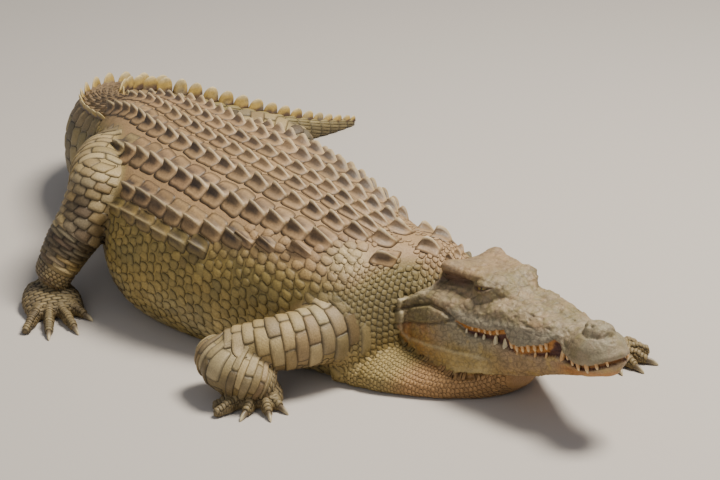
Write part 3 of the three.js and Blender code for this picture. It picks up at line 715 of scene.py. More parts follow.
# ---- Materials -------------------------------------------------------------------------------------
def rgb(code):
    """Linear colour from a screen colour."""
    value = np.array([(code >> shift & 255) / 255 for shift in (16, 8, 0)])
    return np.where(value <= 0.04045, value / 12.92, ((value + 0.055) / 1.055) ** 2.4)


TAN, OCHRE, OLIVE = rgb(0x9f7f5c), rgb(0xa68a45), rgb(0x70663a)
BROWN, DARK, PALE = rgb(0x684d3b), rgb(0x2b2320), rgb(0xdccca2)
GREY, BLUE, ORANGE = rgb(0x9a8768), rgb(0x8b8675), rgb(0xb5772f)
# the middle colour of the next three is painted shade: a deep red-brown for the gap between the jaws and the
# slit between the eyelids
GUM, SHADED_GAP, UMBER = rgb(0xb57a34), rgb(0x4a2418), rgb(0x7d704c)
IRIS = rgb(0x8a7434)


def blend(base, colour, share):
    """One colour or one for each point, moved towards another by a share."""
    return base + (colour - base) * np.reshape(share, (-1, 1))


def layered(colour, *layers):
    """Colours laid over one another; a layer is its colour and its share."""
    for tone, share in layers:
        colour = blend(colour, tone, share)
    return colour


def face_colours(points, normals, x, y, z):
    """Colours of the head, as the hide lies over its parts."""
    ay = np.abs(y)
    lateral = facing_out(normals @ HEAD_TURN, 0.4)
    mottle, fleck = rough(points, 38, 61), rough(points, 14, 62)
    low = smooth(0.115, 0.085, z) * smooth(0.08, 0.16, x) * smooth(0.75, 0.70, x)
    upper_colour = layered(
        GREY,
        (TAN, 0.7 * smooth(-0.3, 0.6, mottle)),
        (UMBER, 0.8 * smooth(-0.2, 0.4, fleck)),
        (OLIVE, 0.5 * smooth(0.1, 0.6, rough(points, 60, 64))),
        (PALE, 0.30 * smooth(0.2, 0.7, -fleck)),
        # painted shade: darker in the cracks of the hide over the skull's bones
        (DARK, 0.30 * bone_seams(points) * smooth(0.06, 0.11, z)),
        (TAN, 0.4 * smooth(0.215, 0.25, z) * smooth(0.3, 0.2, x)),
        (BLUE, 0.45 * smooth(0.62, 0.78, x) * smooth(-0.5, 0.3, mottle)),
        (BLUE, low * (0.55 + 0.25 * mottle)))
    jaw_colour = layered(
        BLUE,
        (OCHRE, 0.25 + 0.7 * smooth(-0.02, -0.12, z + 0.05 * mottle)),
        (ORANGE, 0.9 * bell(x + 0.12, 0.16) * smooth(-1.1, 0.3, mottle)),
        (TAN, 0.7 * smooth(0.30, 0.48, x)),
        (ORANGE, 0.8 * smooth(0.66, 0.8, x) * smooth(-0.01, -0.05, z)),
        (OCHRE, 0.5 * smooth(0.1, 0.5, fleck)))
    above, below = z - line_at(MUSCLE_TOP, x), z - line_at(MUSCLE_BASE, x)
    over, under = z - line_at(LIP, x), z - line_at(SILL, x)
    jaw = smooth(0.01, -0.01, np.where(x < 0.17, below, under - 0.006))
    muscle = smooth(0.0, 0.01, below) * smooth(0.0, -0.01, above)
    crease = np.minimum(line_distance(x, z, MUSCLE_TOP), line_distance(x, z, MUSCLE_BASE))
    mouth = smooth(0.002, -0.003, over) * smooth(-0.003, 0.002, under) * smooth(0.165, 0.19, x) * lateral
    eye = smooth(0.06, 0.08, ay) * bell(x - EYE_AT[0], 0.07)
    temple = smooth(0.245, 0.23, z) * smooth(0.17, 0.19, z) * smooth(0.17, 0.10, x)
    colour = layered(
        upper_colour,
        (jaw_colour, jaw),
        (UMBER, 0.45 * muscle * smooth(0.18, 0.15, x)),
        # painted shade: darker along the creases over and under the jaw muscle
        (DARK, 0.55 * bell(crease, 0.006) * smooth(0.18, 0.16, x)),
        # painted shade: deep red-brown over the sunken band between the jaws
        (SHADED_GAP, mouth),
        (GUM, mouth * smooth(-0.044, -0.030, over) * smooth(0.44, 0.47, x) * smooth(0.71, 0.69, x)),
        (GUM, mouth * smooth(-0.026, -0.018, over) * smooth(0.47, 0.44, x)),
        (GUM, 0.5 * mouth * smooth(-0.018, -0.008, over)),
        # painted shade: deep red-brown in the slit between the eyelids
        (SHADED_GAP, 0.75 * smooth(-0.012, 0.0, lid_gap(x, z)) * eye),
        # painted shade: darker in the seams between the cheek's and jaw's scales
        (DARK, 0.38 * scale_seams(points, x, z) * (1 - mouth)),
        # painted shade: darker in the dips between the knobs that sculpt_face raises with the same noise
        (DARK, 0.22 * smooth(0.1, -0.6, rough(points, 19, 3)) * smooth(0.06, 0.11, z)),
        # painted shade: darker in the hollow over the ear's slit, under the skull table's edge
        (DARK, 0.55 * ear_hollow(x, ay, z) * lateral),
        # brown hide and painted shade, on the side of the head under the skull table's edge
        (BROWN, 0.8 * temple * smooth(0.10, 0.12, ay) * lateral))
    colour = colour * (0.93 + 0.24 * fleck + 0.10 * mottle)[:, None]
    # painted highlight: paler along the crest of the rolled border where the head stands out from the neck
    # and the throat
    edge = bell(inside_head(x, y, z) - 0.016, 0.009) * smooth(0.17, 0.15, z) * smooth(0.4, 0.3, x)
    return blend(colour, PALE, 0.32 * edge)


def markings(points, normals):
    """Colour of the hide at points: one rule for the skin and for every scale on it."""
    x, y, z = to_head(points).T
    ahead, _, high = points.T
    back = smooth(0.35, 0.80, normals[:, 2]) * smooth(170, 260, high)
    speckle, blotch = rough(points, 45, 11), rough(points, 120, 12)
    neck = smooth(-30, 60, ahead) * (1 - back)
    pouch = smooth(170, 240, ahead) * smooth(120, 60, high)
    shoulder = np.linalg.norm((points - (22, -150, 255)) / (60, 60, 75), axis=1)
    aft = smooth(-950, -1200, ahead)
    bands = smooth(0.1, 0.5, np.cos(2 * pi * ahead / 260) + 0.6 * blotch) * smooth(-1000, -1150, ahead)
    limb, hind, foot = limb_share(points)
    limb_colour = layered(
        0.86 * blend(TAN, OCHRE, 0.65 + 0.35 * speckle),
        (UMBER, 0.25 + 0.45 * smooth(-0.2, 0.5, blotch)),
        # painted highlight: paler where the limbs' surface looks up
        (PALE, 0.14 * smooth(0.1, 0.9, normals[:, 2])))
    return layered(
        OLIVE,
        (OCHRE, 0.50 + 0.45 * speckle),
        (PALE, 0.30 * smooth(160, 40, high) * smooth(-0.5, 0.6, blotch)),
        (TAN, back * (0.85 + 0.15 * speckle)),
        (BROWN, 0.35 * back * smooth(0.0, 0.8, blotch)),
        (DARK, 0.35 * smooth(0.25, 0.5, rough(points, 60, 14)) * (1 - back) * smooth(40, 120, high)),
        (blend(UMBER, OCHRE, 0.5 * smooth(140, 50, high)), 0.85 * neck),
        (blend(TAN, ORANGE, 0.35), 0.8 * pouch),
        (blend(PALE, OCHRE, 0.45), 0.6 * smooth(1.2, 0.4, shoulder)),
        (UMBER, 0.45 * aft * (1 + 0.5 * speckle)),
        (BROWN, 0.35 * aft * back),
        (DARK, 0.45 * bands * smooth(0.9, 0.3, normals[:, 2])),
        (limb_colour, limb),
        (DARK, 0.75 * hind * smooth(0.05, 0.40, rough(points, 85, 15))),
        (DARK, 0.40 * foot),
        (face_colours(points, normals, x, y, z), smooth(-0.006, 0.004, inside_head(x, y, z))))


def finish(name, roughness, bump, size, creases=0.0):
    """A hide material: its colour comes with the mesh, broken up and roughened at a fine scale."""
    material = bpy.data.materials.new(name)
    material.use_nodes = True
    tree = material.node_tree

    def node(kind, **values):
        made = tree.nodes.new("ShaderNode" + kind)
        for socket, value in values.items():
            made.inputs[socket.replace("_", " ")].default_value = value
        return made

    shader = tree.nodes["Principled BSDF"]
    tint = node("Attribute")
    tint.attribute_name = "tint"
    place = node("TexCoord")
    grain = node("TexNoise", Scale=1 / size, Detail=6, Roughness=0.62)
    shade = node("MapRange", From_Min=0.3, From_Max=0.7, To_Min=0.78, To_Max=1.2)
    mix = node("VectorMath")
    mix.operation = 'SCALE'
    gloss = node("MapRange", To_Min=roughness + 0.12, To_Max=roughness - 0.12)
    net = node("TexVoronoi")
    net.feature = 'DISTANCE_TO_EDGE'
    net.inputs["Scale"].default_value = 0.6 / size
    crease = node("MapRange", From_Max=0.16, To_Max=creases)
    height = node("Math")
    relief = node("Bump", Strength=bump, Distance=0.002)
    for source, output, target, socket in (
            (place, "Object", grain, "Vector"), (place, "Object", net, "Vector"),
            (grain, "Fac", shade, "Value"), (tint, "Color", mix, 0), (shade, "Result", mix, "Scale"),
            (mix, "Vector", shader, "Base Color"), (grain, "Fac", gloss, "Value"),
            (gloss, "Result", shader, "Roughness"), (net, "Distance", crease, "Value"),
            (grain, "Fac", height, 0), (crease, "Result", height, 1),
            (height, "Value", relief, "Height"), (relief, "Normal", shader, "Normal")):
        tree.links.new(source.outputs[output], target.inputs[socket])
    return material


def paint(mesh, colours):
    layer = mesh.attributes.new("tint", 'FLOAT_COLOR', 'POINT')
    layer.data.foreach_set("color", np.column_stack([colours, np.ones(len(colours))]).ravel())


HIDE = finish("hide", 0.58, 0.32, 0.004, 0.6)
HORN = finish("horny_scales", 0.55, 0.35, 0.005)
CLAW_HORN = finish("claw_horn", 0.42, 0.25, 0.006)
EYE_GLOSS = finish("eye_gloss", 0.14, 0.0, 0.004)
ENAMEL = finish("enamel", 0.32, 0.10, 0.004)


# ---- Sheaths: the surfaces that scales are laid out on ----------------------------------------------
class Sheath:
    """A tube's surface, measured by distance along it (s) and round it from its top line (t)."""
    LANES = 128

    def __init__(self, rings):
        closed = np.concatenate([rings, rings[:, :1]], 1)
        step = np.linalg.norm(np.diff(closed, axis=1), axis=2)
        round_it = np.concatenate([np.zeros((len(rings), 1)), np.cumsum(step, 1)], 1)
        self.girth = round_it[:, -1]
        lanes = np.linspace(-0.5, 0.5, self.LANES + 1)
        self.grid = np.empty((len(rings), len(lanes), 3))
        for i, (ring, arc) in enumerate(zip(closed, round_it)):
            want = np.mod(lanes, 1.0) * arc[-1]
            self.grid[i] = np.stack([np.interp(want, arc, ring[:, k]) for k in range(3)], 1)
        centres = rings.mean(1)
        hop = np.linalg.norm(np.diff(centres, axis=0), axis=1)
        self.s = np.concatenate([[0], np.cumsum(hop)])
        along = np.gradient(self.grid, axis=0)
        across = np.gradient(self.grid, axis=1)
        across[:, 0] = across[:, -1] = (self.grid[:, 1] - self.grid[:, -2]) / 2
        normal = np.cross(along, across)
        self.hand = np.sign(np.sum(normal * (self.grid - centres[:, None])))
        self.normal = unit(normal * self.hand)

    def at(self, s, t):
        """Points and outward normals at s along and t round; any shape of s and t."""
        s, t = np.broadcast_arrays(s, t)
        row = np.interp(s, self.s, np.arange(len(self.s)))
        girth = np.interp(s, self.s, self.girth)
        lane = (np.clip(t / girth, -0.4999, 0.4999) + 0.5) * self.LANES
        i = np.clip(row.astype(int), 0, len(self.s) - 2)
        j = np.clip(lane.astype(int), 0, self.LANES - 1)
        p, q = (row - i)[..., None], (lane - j)[..., None]
        values = []
        for grid in (self.grid, self.normal):
            values.append((grid[i, j] * (1 - p) + grid[i + 1, j] * p) * (1 - q)
                          + (grid[i, j + 1] * (1 - p) + grid[i + 1, j + 1] * p) * q)
        return values[0], unit(values[1])

    def locate(self, points):
        """s and t of the places of the surface nearest to the points."""
        net = self.grid.reshape(-1, 3)
        best = np.array([np.argmin(np.sum((net - p) ** 2, 1)) for p in points])
        row, lane = np.divmod(best, self.LANES + 1)
        return self.s[row], (lane / self.LANES - 0.5) * self.girth[row]

    def across(self, s, out):
        """t of the point that lies out to the left of the middle, on the upper side."""
        result = []
        for each_s, each_out in np.broadcast(s, out):
            t = np.linspace(-0.25, 0.25, 65) * np.interp(each_s, self.s, self.girth)
            points, _ = self.at(each_s, t)
            middle = points[len(t) // 2]
            side = np.sign(t) * np.linalg.norm((points - middle)[:, :2], axis=1)
            result.append(np.interp(each_out, side, t))
        return np.array(result)


def rooted(a, b, rim, faces):
    """A scale's net, closed by a rim sunk in the skin: a and b run from -1 to 1 along and across it."""
    count, k = len(a), len(rim)
    i = np.arange(k)
    j = (i + 1) % k
    under = np.stack([count + i, np.full(k, count + k), count + j], 1)
    faces = np.vstack([faces, quads(rim[i], count + i, count + j, rim[j]), under])
    a, b = np.concatenate([a, a[rim], [0]]), np.concatenate([b, b[rim], [0]])
    return a, b, np.append(np.zeros(count), np.ones(k + 1)), faces


def disc(sides=8, rings=(0.6, 0.9), square=2.6):
    """Net of a rounded scale."""
    phi = 2 * pi * (np.arange(sides) + 0.5) / sides
    radii = np.repeat([*rings, 1.0], sides)
    phi = np.tile(phi, len(rings) + 1)
    a = np.append(0, radii * signed_power(np.cos(phi), 2 / square))
    b = np.append(0, radii * signed_power(np.sin(phi), 2 / square))
    i = np.arange(sides)
    j = (i + 1) % sides
    faces = [np.stack([0 * i, 1 + i, 1 + j], 1)]
    for ring in range(len(rings)):
        low, high = 1 + ring * sides, 1 + (ring + 1) * sides
        faces.append(quads(low + i, high + i, high + j, low + j))
    return rooted(a, b, 1 + len(rings) * sides + i, np.vstack(faces))


def slab(rows=8, lanes=10, square=6.0):
    """Net of a plate that runs along and across it, for one with a keel."""
    a, b = (v.ravel() for v in np.meshgrid(
        np.linspace(-1, 1, rows + 1), signed_power(np.linspace(-1, 1, lanes + 1), 1.25), indexing="ij"))
    edge = np.maximum(np.abs(a), np.abs(b))
    pull = edge / np.maximum((np.abs(a) ** square + np.abs(b) ** square) ** (1 / square), 1e-9)
    rim = np.flatnonzero(edge > 0.999)
    rim = rim[np.argsort(np.arctan2(b[rim], a[rim]))]
    i, j = (v.ravel() for v in np.meshgrid(np.arange(rows), np.arange(lanes), indexing="ij"))
    p = i * (lanes + 1) + j
    q = p + lanes + 1
    return rooted(a * pull, b * pull, rim, quads(p, q, q + 1, p + 1))


KEEL_HALF = 0.34            # half width of a keel, as a share of its scale's
MIN_FACING = 0.4            # how far the skin under a scale must look the scale's way
# SEAM_SHADE is painted shade: the share by which each scale's rim and sunk root are darkened, for the seams
# between scales; TONE_SPREAD is the random spread of the scales' tones
SEAM_SHADE, TONE_SPREAD = 0.74, 0.16
LOWEST = 0.3                # the lowest that a scale reaches, in millimetres
MAP_EDGE, MAP_SPAN, MAP_SCALE = 0.02, 0.96, 0.0015      # margin, extent and one scale on the UV map


class Coat:
    """A joined mesh of scales, each a closed dome rooted in the skin."""

    def __init__(self, name, material, slot):
        self.name, self.material, self.slot = name, material, slot
        self.points, self.faces, self.colours, self.maps, self.count = [], [], [], [], 0

    def add(self, sheath, s, t, length, width, height, net=None, keel=0.0, limit=16.0, tilt=0.0, tone=None,
            jitter=0.0, keel_shade_and_pigment=0.0, ridge_highlight=0.0, seed=1, sink=3.0, square=2.6, avoid=None):
        """Scales at s along a sheath and t round it, but for those off the skin or where avoid holds."""
        s, t, length, width, height, keel = (
            np.array(v, float).ravel() for v in np.broadcast_arrays(s, t, length, width, height, keel))
        if not len(s):
            return
        draw = np.random.default_rng(seed)
        root, outward = sheath.at(s, t)
        near = [TREE.find_nearest(Vector(p)) for p in to_metres(root)]
        far = np.array([n[3] / MM for n in near])
        facing = np.array([n[1][:] for n in near])
        seat = np.array([n[0][2] / MM for n in near])
        keep = (far < limit) & (np.sum(facing * outward, 1) > MIN_FACING) & (seat > GROUND + 1)
        if avoid is not None:
            keep &= ~avoid(root)
        s, t, length, width, height, keel = (v[keep] for v in (s, t, length, width, height, keel))
        count = len(s)
        if not count:
            return
        a, b, sunk, faces = net or disc()
        radius = np.minimum((np.abs(a) ** square + np.abs(b) ** square) ** (1 / square), 1)
        phi = np.arctan2(b, a)
        swing = draw.uniform(0, 2 * pi, (count, 2))
        wobble = 1 + jitter * (np.cos(2 * phi + swing[:, :1]) + np.cos(3 * phi + swing[:, 1:]))
        turn = jitter * draw.uniform(-1, 1, (count, 1))
        along, across = a * wobble - turn * b * wobble, b * wobble + turn * a * wobble
        place, normal = sheath.at(s[:, None] + along * length[:, None] / 2,
                                  t[:, None] + across * width[:, None] / 2)
        hits = [TREE.find_nearest(Vector(p)) for p in to_metres(place.reshape(-1, 3))]
        on_skin = to_mm([h[0][:] for h in hits]).reshape(place.shape)
        off = np.abs(b)
        ridge = np.maximum(0, 1 - off / KEEL_HALF) ** 1.3 + 0.35 * np.maximum(0, 1 - off / 0.9) ** 2
        backward = 0.18 + 0.82 * smooth(-1.1, 0.55, a)
        cut = 1 - radius ** 9
        rise = height[:, None] * (0.25 + 0.75 * (1 - radius ** 3))
        rise = rise + keel[:, None] * ridge * backward * cut + tilt * a * (1 - radius ** 8)
        rise = np.where(sunk > 0, -sink, rise)
        points = on_skin + normal * rise[..., None]
        points[..., 2] = np.maximum(points[..., 2], LOWEST)
        shade = markings(root[keep], outward[keep])
        if tone is not None:
            shade = tone(shade, root[keep], draw)
        shade = shade * draw.uniform(1 - TONE_SPREAD, 1 + TONE_SPREAD, (count, 1))
        # painted shade: darker towards each scale's rim, in the seams between scales
        seam_shade_share = np.maximum(smooth(0.80, 1.0, radius), sunk)
        colour = shade[:, None] * (1 - SEAM_SHADE * seam_shade_share[None, :, None])
        # painted shade and pigment: the sides of the keel towards its rear are darkened, partly brown pigment
        # of the scute and partly painted shade on the keel's side that faces away from the light
        if keel_shade_and_pigment:
            flank = smooth(0.04, 0.16, off) * smooth(0.62, 0.42, off) * smooth(-0.75, -0.2, a) * cut
            keel_shade_and_pigment_share = keel_shade_and_pigment * flank * (0.6 + 0.4 * draw.uniform(0, 1, (count, 1)))
            colour = colour + (DARK - colour) * keel_shade_and_pigment_share[..., None]
            # painted highlight: a pale line along the top of the keel
            ridge_highlight_share = ridge_highlight * smooth(0.12, 0.0, off) * cut
            colour = colour + (PALE - colour) * ridge_highlight_share[:, None]
        uv = np.stack([s / sheath.s[-1], t / np.interp(s, sheath.s, sheath.girth) + 0.5], 1)
        uv = (MAP_EDGE + MAP_SPAN * uv)[:, None] + np.stack([a, b], -1) * MAP_SCALE
        faces = faces[:, ::-1] if sheath.hand < 0 else faces
        starts = np.arange(count)[:, None, None] * len(a)
        self.add_mesh(points.reshape(-1, 3), (faces[None] + starts).reshape(-1, 3), colour.reshape(-1, 3),
                      uv.reshape(-1, 2))

    def cover(self, sheath, s0, s1, tall, t0, t1, wide, height, fill=(1, 1), side=1, stagger=0.5, **look):
        """Rows of scales over a stretch; fill is how much of its row and its lane a scale takes."""
        s, t, tall, wide = lattice(s0, s1, tall, t0, t1, wide, stagger)
        self.add(sheath, s, side * t, tall * fill[0], wide * fill[1], height, **look)

    def add_mesh(self, points, faces, colours, uv):
        self.faces.append(faces + self.count)
        self.points.append(points)
        self.colours.append(colours)
        self.maps.append(uv)
        self.count += len(points)

    def make(self):
        faces = np.vstack(self.faces)
        obj = new_object(self.name, np.vstack(self.points), faces)
        mesh = obj.data
        paint(mesh, np.vstack(self.colours))
        layer = mesh.uv_layers.new(name="OFBake")
        layer.data.foreach_set("uv", np.vstack(self.maps)[faces.ravel()].ravel())
        mesh.materials.append(self.material)
        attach(obj, "root")


def lattice(s0, s1, tall, t0, t1, wide, stagger=0.5):
    """Rows of places across a sheath, as arrays of s, t, row height and width."""
    places = []
    s, row = s0, 0
    while s <= s1:
        low, high, step, lane = (v(s) if callable(v) else v for v in (t0, t1, tall, wide))
        count = max(1, round((high - low) / lane))
        lane = (high - low) / count
        t = low + lane * (np.arange(count) + 0.5 + stagger * (row % 2 - 0.5))
        places.append(np.stack([np.full(count, s), t, np.full(count, step), np.full(count, lane)], 1))
        s += step
        row += 1
    return np.vstack(places).T


# ---- Build -----------------------------------------------------------------------------------------
skin_mesh = remeshed()
skin_points = mesh_points(skin_mesh)
skin_normals = mesh_normals(skin_mesh)
for sculpt in (sculpt_face, sculpt_hide):
    skin_points = skin_points + skin_normals * sculpt(skin_points, skin_normals)[:, None]
skin_points[:, 2] = np.maximum(skin_points[:, 2], GROUND)
set_points(skin_mesh, skin_points)
paint(skin_mesh, markings(skin_points, skin_normals))
skin_mesh.materials.clear()
skin_mesh.materials.append(HIDE)
skin_mesh.shade_smooth()
skin_mesh.name = "skin"
skin = placed("skin", skin_mesh)
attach(skin, "root")
flesh = ["head", "lower_jaw", "neck", "trunk", "throat"]
flesh += [f"tail_{i}" for i in range(1, 6)]
flesh += [name for limb in LIMBS for name in limb["names"]]
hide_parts(*flesh)

# ---- Scales ----------------------------------------------------------------------------------------
bpy.context.view_layer.update()
TREE = BVHTree.FromObject(skin, bpy.context.evaluated_depsgraph_get())
BODY_US = np.linspace(0, len(BODY) - 1, 400)
BACK = Sheath(body_rings(BODY, BODY_US, 256))
POUCH = Sheath(body_rings(THROAT, np.linspace(0, len(THROAT) - 1, 100), 192))
KEEL_NET = slab()
KEELED = {"net": KEEL_NET, "limit": 30}
PLATE_NET = disc(12, (0.6, 0.92), 6)
SMALL = {"net": disc(8, (0.7,)), "sink": 2}


def station(u):
    """Distance along the body of row position u."""
    return float(np.interp(u, BODY_US, BACK.s))


def spread(s):
    """How wide the shield of the back is at s, as a share of its width at the middle."""
    u = np.interp(s, BACK.s, BODY_US)
    return np.interp(u, [0, 1, 2, 3, 4, 6, 7, 8, 9], [0.5, 0.62, 0.74, 0.9, 1.06, 1.06, 0.98, 0.92, 0.9])


# Rows of the shield on each side: [place, width, keel, first and last row position].
SHIELD = [
    [31, 58, 13, 1.75, 8.3], [100, 74, 17, 1.75, 8.3], [186, 88, 18, 2.1, 8.0],
    [262, 66, 16, 3.2, 7.0],
]
# A row under the outermost one.
LOW_ROW = {"below": 60, "width": 50, "keel": 14, "first": 3.5, "last": 6.7}
SHIELD_STEP = 56
MIDLINE = 16


def on_limb(points):
    return np.min([beside(points, limb["upper"][1:]) for limb in LIMBS], axis=0) < 1.12


def shield_row(s, place, side):
    """t of a row of the shield; the middle line lies left of the body's own, the outer rows less so."""
    lean = MIDLINE if side < 0 else MIDLINE * (1 - place / 131)
    return BACK.across(s, lean + side * place * spread(s))


shield = Coat("dorsal_scutes", HORN, "back_skin")
for place, width, keel, first, last in SHIELD:
    s = np.arange(station(first), station(last), SHIELD_STEP)
    for side in (-1, 1):
        shield.add(BACK, s, shield_row(s, place, side), SHIELD_STEP * 1.03, width * spread(s) * 1.02, 3.0,
                   **KEELED, keel=keel, jitter=0.03, keel_shade_and_pigment=0.95, ridge_highlight=0.40, seed=place + side, square=5,
                   avoid=on_limb)
s = np.arange(station(LOW_ROW["first"]), station(LOW_ROW["last"]), SHIELD_STEP)
for side in (-1, 1):
    t = shield_row(s, SHIELD[-1][0], side) + side * LOW_ROW["below"]
    shield.add(BACK, s + 20, t, SHIELD_STEP * 0.98, LOW_ROW["width"], 3.5, **KEELED, keel=LOW_ROW["keel"],
               jitter=0.05, keel_shade_and_pigment=0.9, ridge_highlight=0.25, seed=611 + side, square=4, avoid=on_limb)
# Scutes of the nape: two pairs and an outer one, and a row of small ones behind the skull.
NAPE = [[0.88, 38, 60, 62, 16], [1.32, 38, 60, 62, 17], [1.15, 105, 56, 60, 16]]
NAPE_MIDDLE = 8
for u, place, length, width, keel in NAPE:
    for side in (-1, 1):
        t = BACK.across([station(u)], NAPE_MIDDLE + side * place)
        shield.add(BACK, station(u), t, length, width, 5, **KEELED, keel=keel, jitter=0.03, keel_shade_and_pigment=0.85,
                   ridge_highlight=0.45, seed=int(u * 100) + side, square=5)
s = np.full(6, station(0.44))
t = BACK.across(s, 26 + np.linspace(-92, 92, 6))
shield.add(BACK, s + np.tile([0, 9], 3), t, 27, 30, 4, **KEELED, keel=8, jitter=0.05, keel_shade_and_pigment=0.7, seed=3,
           square=3)


def shield_edge(s, side):
    """How far round from the top line the shield's outer edge lies on one side."""
    u = np.interp(s, BACK.s, BODY_US)
    place, width, _, first, last = SHIELD[-1]
    if first - 0.05 < u < last + 0.05:
        low = LOW_ROW["first"] - 0.05 < u < LOW_ROW["last"] + 0.1
        extra = LOW_ROW["below"] + LOW_ROW["width"] / 2 if low else width / 2
        return side * float(shield_row(s, place, side)[0]) + extra
    place = np.interp(u, [1, 2, 2.2, 3.1, 7.1, 8, 8.3], [140, 150, 225, 232, 225, 150, 140])
    return side * float(shield_row(s, place, side)[0])


def girth_share(share, sheath=BACK):
    """A share of a sheath's girth, as a function of s."""
    return lambda s: share * float(np.interp(s, sheath.s, sheath.girth))


# Large keeled scutes that lie apart in the flank's small scales.
LONE = [(-205, -275, 290), (-149, -251, 288), (-74, -213, 289)]
lone_places = np.array(LONE + [(x, -100 - y, z) for x, y, z in LONE], float)
lone_s, lone_t = BACK.locate(lone_places)
shield.add(BACK, lone_s, lone_t, 54, 34, 4, **KEELED, keel=15, jitter=0.05, keel_shade_and_pigment=0.95, ridge_highlight=0.2, seed=5)
shield.make()


def on_nape(points):
    """Where the scutes of the nape stand."""
    hit = np.zeros(len(points), bool)
    for u, place, length, width, _ in NAPE:
        x, y = row_at(BODY, u)[0][:2]
        out = np.abs(points[:, 1] - y - NAPE_MIDDLE)
        hit |= (np.abs(points[:, 0] - x) < length * 0.44) & (np.abs(out - place) < width * 0.44)
    return hit


def on_head(points):
    return inside_head(*to_head(points).T) > -0.006


def near_lone(points):
    away = np.linalg.norm((points[:, None] - lone_places[None]) / (27, 20, 20), axis=2)
    return away.min(1) < 0.85


flank = Coat("flank_scales", HIDE, "back_skin")
for side in (-1, 1):
    s, t, tall, wide = lattice(station(1.5), station(8.4), 23, lambda s: shield_edge(s, side),
                               girth_share(0.37), 25)
    size = 1 + 0.24 * noise(np.stack([s, t, s * 0], 1), 45, 5)
    stray = np.random.default_rng(41 + side).uniform(-3.5, 3.5, (2, len(s)))
    flank.add(BACK, s + stray[0], side * (t + stray[1]), tall * 1.06 * size, wide * 1.02 * size, 4.5,
              jitter=0.11, seed=7 + side, avoid=lambda p: near_lone(p) | on_limb(p))
flank.make()

belly = Coat("belly_plates", HIDE, "back_skin")
for side in (-1, 1):
    belly.cover(BACK, station(1.2), station(8.4), 29, girth_share(0.37), girth_share(0.5), 33, 2.5,
                (1, 0.98), side, 0, net=PLATE_NET, seed=17 + side)
belly.make()

# ---- Scales of the neck and throat -------------------------------------------------------------------
collar = Coat("neck_scales", HIDE, "pale_skin")


def nape_edge(s):
    return float(BACK.across(s, np.interp(s, [0, station(1.5)], [70, 150]))[0])


for side in (-1, 1):
    s, t, tall, wide = lattice(station(0.05), station(1.75), 9.5, nape_edge, girth_share(0.40), 15)
    size = 1 + 0.15 * noise(np.stack([s, t, s * 0], 1), 40, 6)
    collar.add(BACK, s, side * t, tall * size, wide * 1.02 * size, 2.4, **SMALL, jitter=0.08,
               seed=27 + side, avoid=lambda p: on_limb(p) | on_head(p), limit=20)
collar.cover(BACK, station(0.1), station(1.7), 14, lambda s: -nape_edge(s), nape_edge, 17, 2.6, **SMALL,
             jitter=0.1, seed=31, avoid=lambda p: on_nape(p) | on_head(p), limit=20)
collar.make()

pouch = Coat("throat_scales", HIDE, "pale_skin")
pouch.cover(POUCH, 6, POUCH.s[-1] - 4, 9, girth_share(-0.5, POUCH), girth_share(0.5, POUCH), 13, 1.9,
            (1.02, 1.02), **SMALL, jitter=0.08, seed=33, avoid=lambda p: on_limb(p) | on_head(p))
pouch.make()


# ---- Tail: whorls of plates and the crest ------------------------------------------------------------
def crest_row(i):
    past = i - (CREST["double"] - 1)
    if past <= 0:
        return CREST["merge"] + (CREST["merge"] - CREST["start"]) * past / (CREST["double"] - 1)
    return CREST["merge"] + (CREST["end"] - CREST["merge"]) * past / CREST["single"]


def crest_out(u):
    """Place of the crest's two rows across the tail, in half widths."""
    along = np.clip((u - CREST["start"]) / (CREST["merge"] - CREST["start"]), 0, 1)
    return 0.62 * (1 - along) ** 0.8 + 0.06


CREST_US = [crest_row(i) for i in range(CREST["double"] + CREST["single"] + 1)]
tail = Coat("tail_plates", HIDE, "back_skin")
TAIL_SIDE = 0.44            # share of the girth, from the top line, that the side's plates reach
for i, (u0, u1) in enumerate(zip(CREST_US[:-1], CREST_US[1:])):
    s0, s1 = station(u0), station(u1)
    s = (s0 + s1) / 2
    girth = girth_share(1)(s)
    out = crest_out(u0) * row_at(BODY, u0)[0][2]
    edge = float(BACK.across([s], out)[0]) if u0 < CREST["merge"] else 0.0
    drop = TAIL_SIDE * girth - edge
    lanes = max(3, round(drop / max(12.0, 0.058 * girth)))
    t = edge + drop * (np.arange(lanes) + 0.5) / lanes
    for side in (-1, 1):
        tail.add(BACK, s, side * t, s1 - s0, drop / lanes, 3.2, net=disc(12, (0.55, 0.88), 5), tilt=1.6,
                 seed=50 + i + side, square=5, limit=14)
    if edge > 24:
        count = max(1, round(edge / 18)) * 2
        t = np.linspace(-edge, edge, count + 1)
        tail.add(BACK, s, (t[1:] + t[:-1]) / 2, s1 - s0, 2 * edge / count, 3.5, net=KEEL_NET, keel=5,
                 seed=90 + i, square=5, limit=14, keel_shade_and_pigment=0.5)
for side in (-1, 1):
    tail.cover(BACK, station(8.35), station(18.6), 26, girth_share(TAIL_SIDE), girth_share(0.5), 22, 2.2,
               side=side, stagger=0, net=PLATE_NET, seed=120 + side, limit=14)
tail.make()

crest = Coat("tail_crest", HORN, "back_skin")


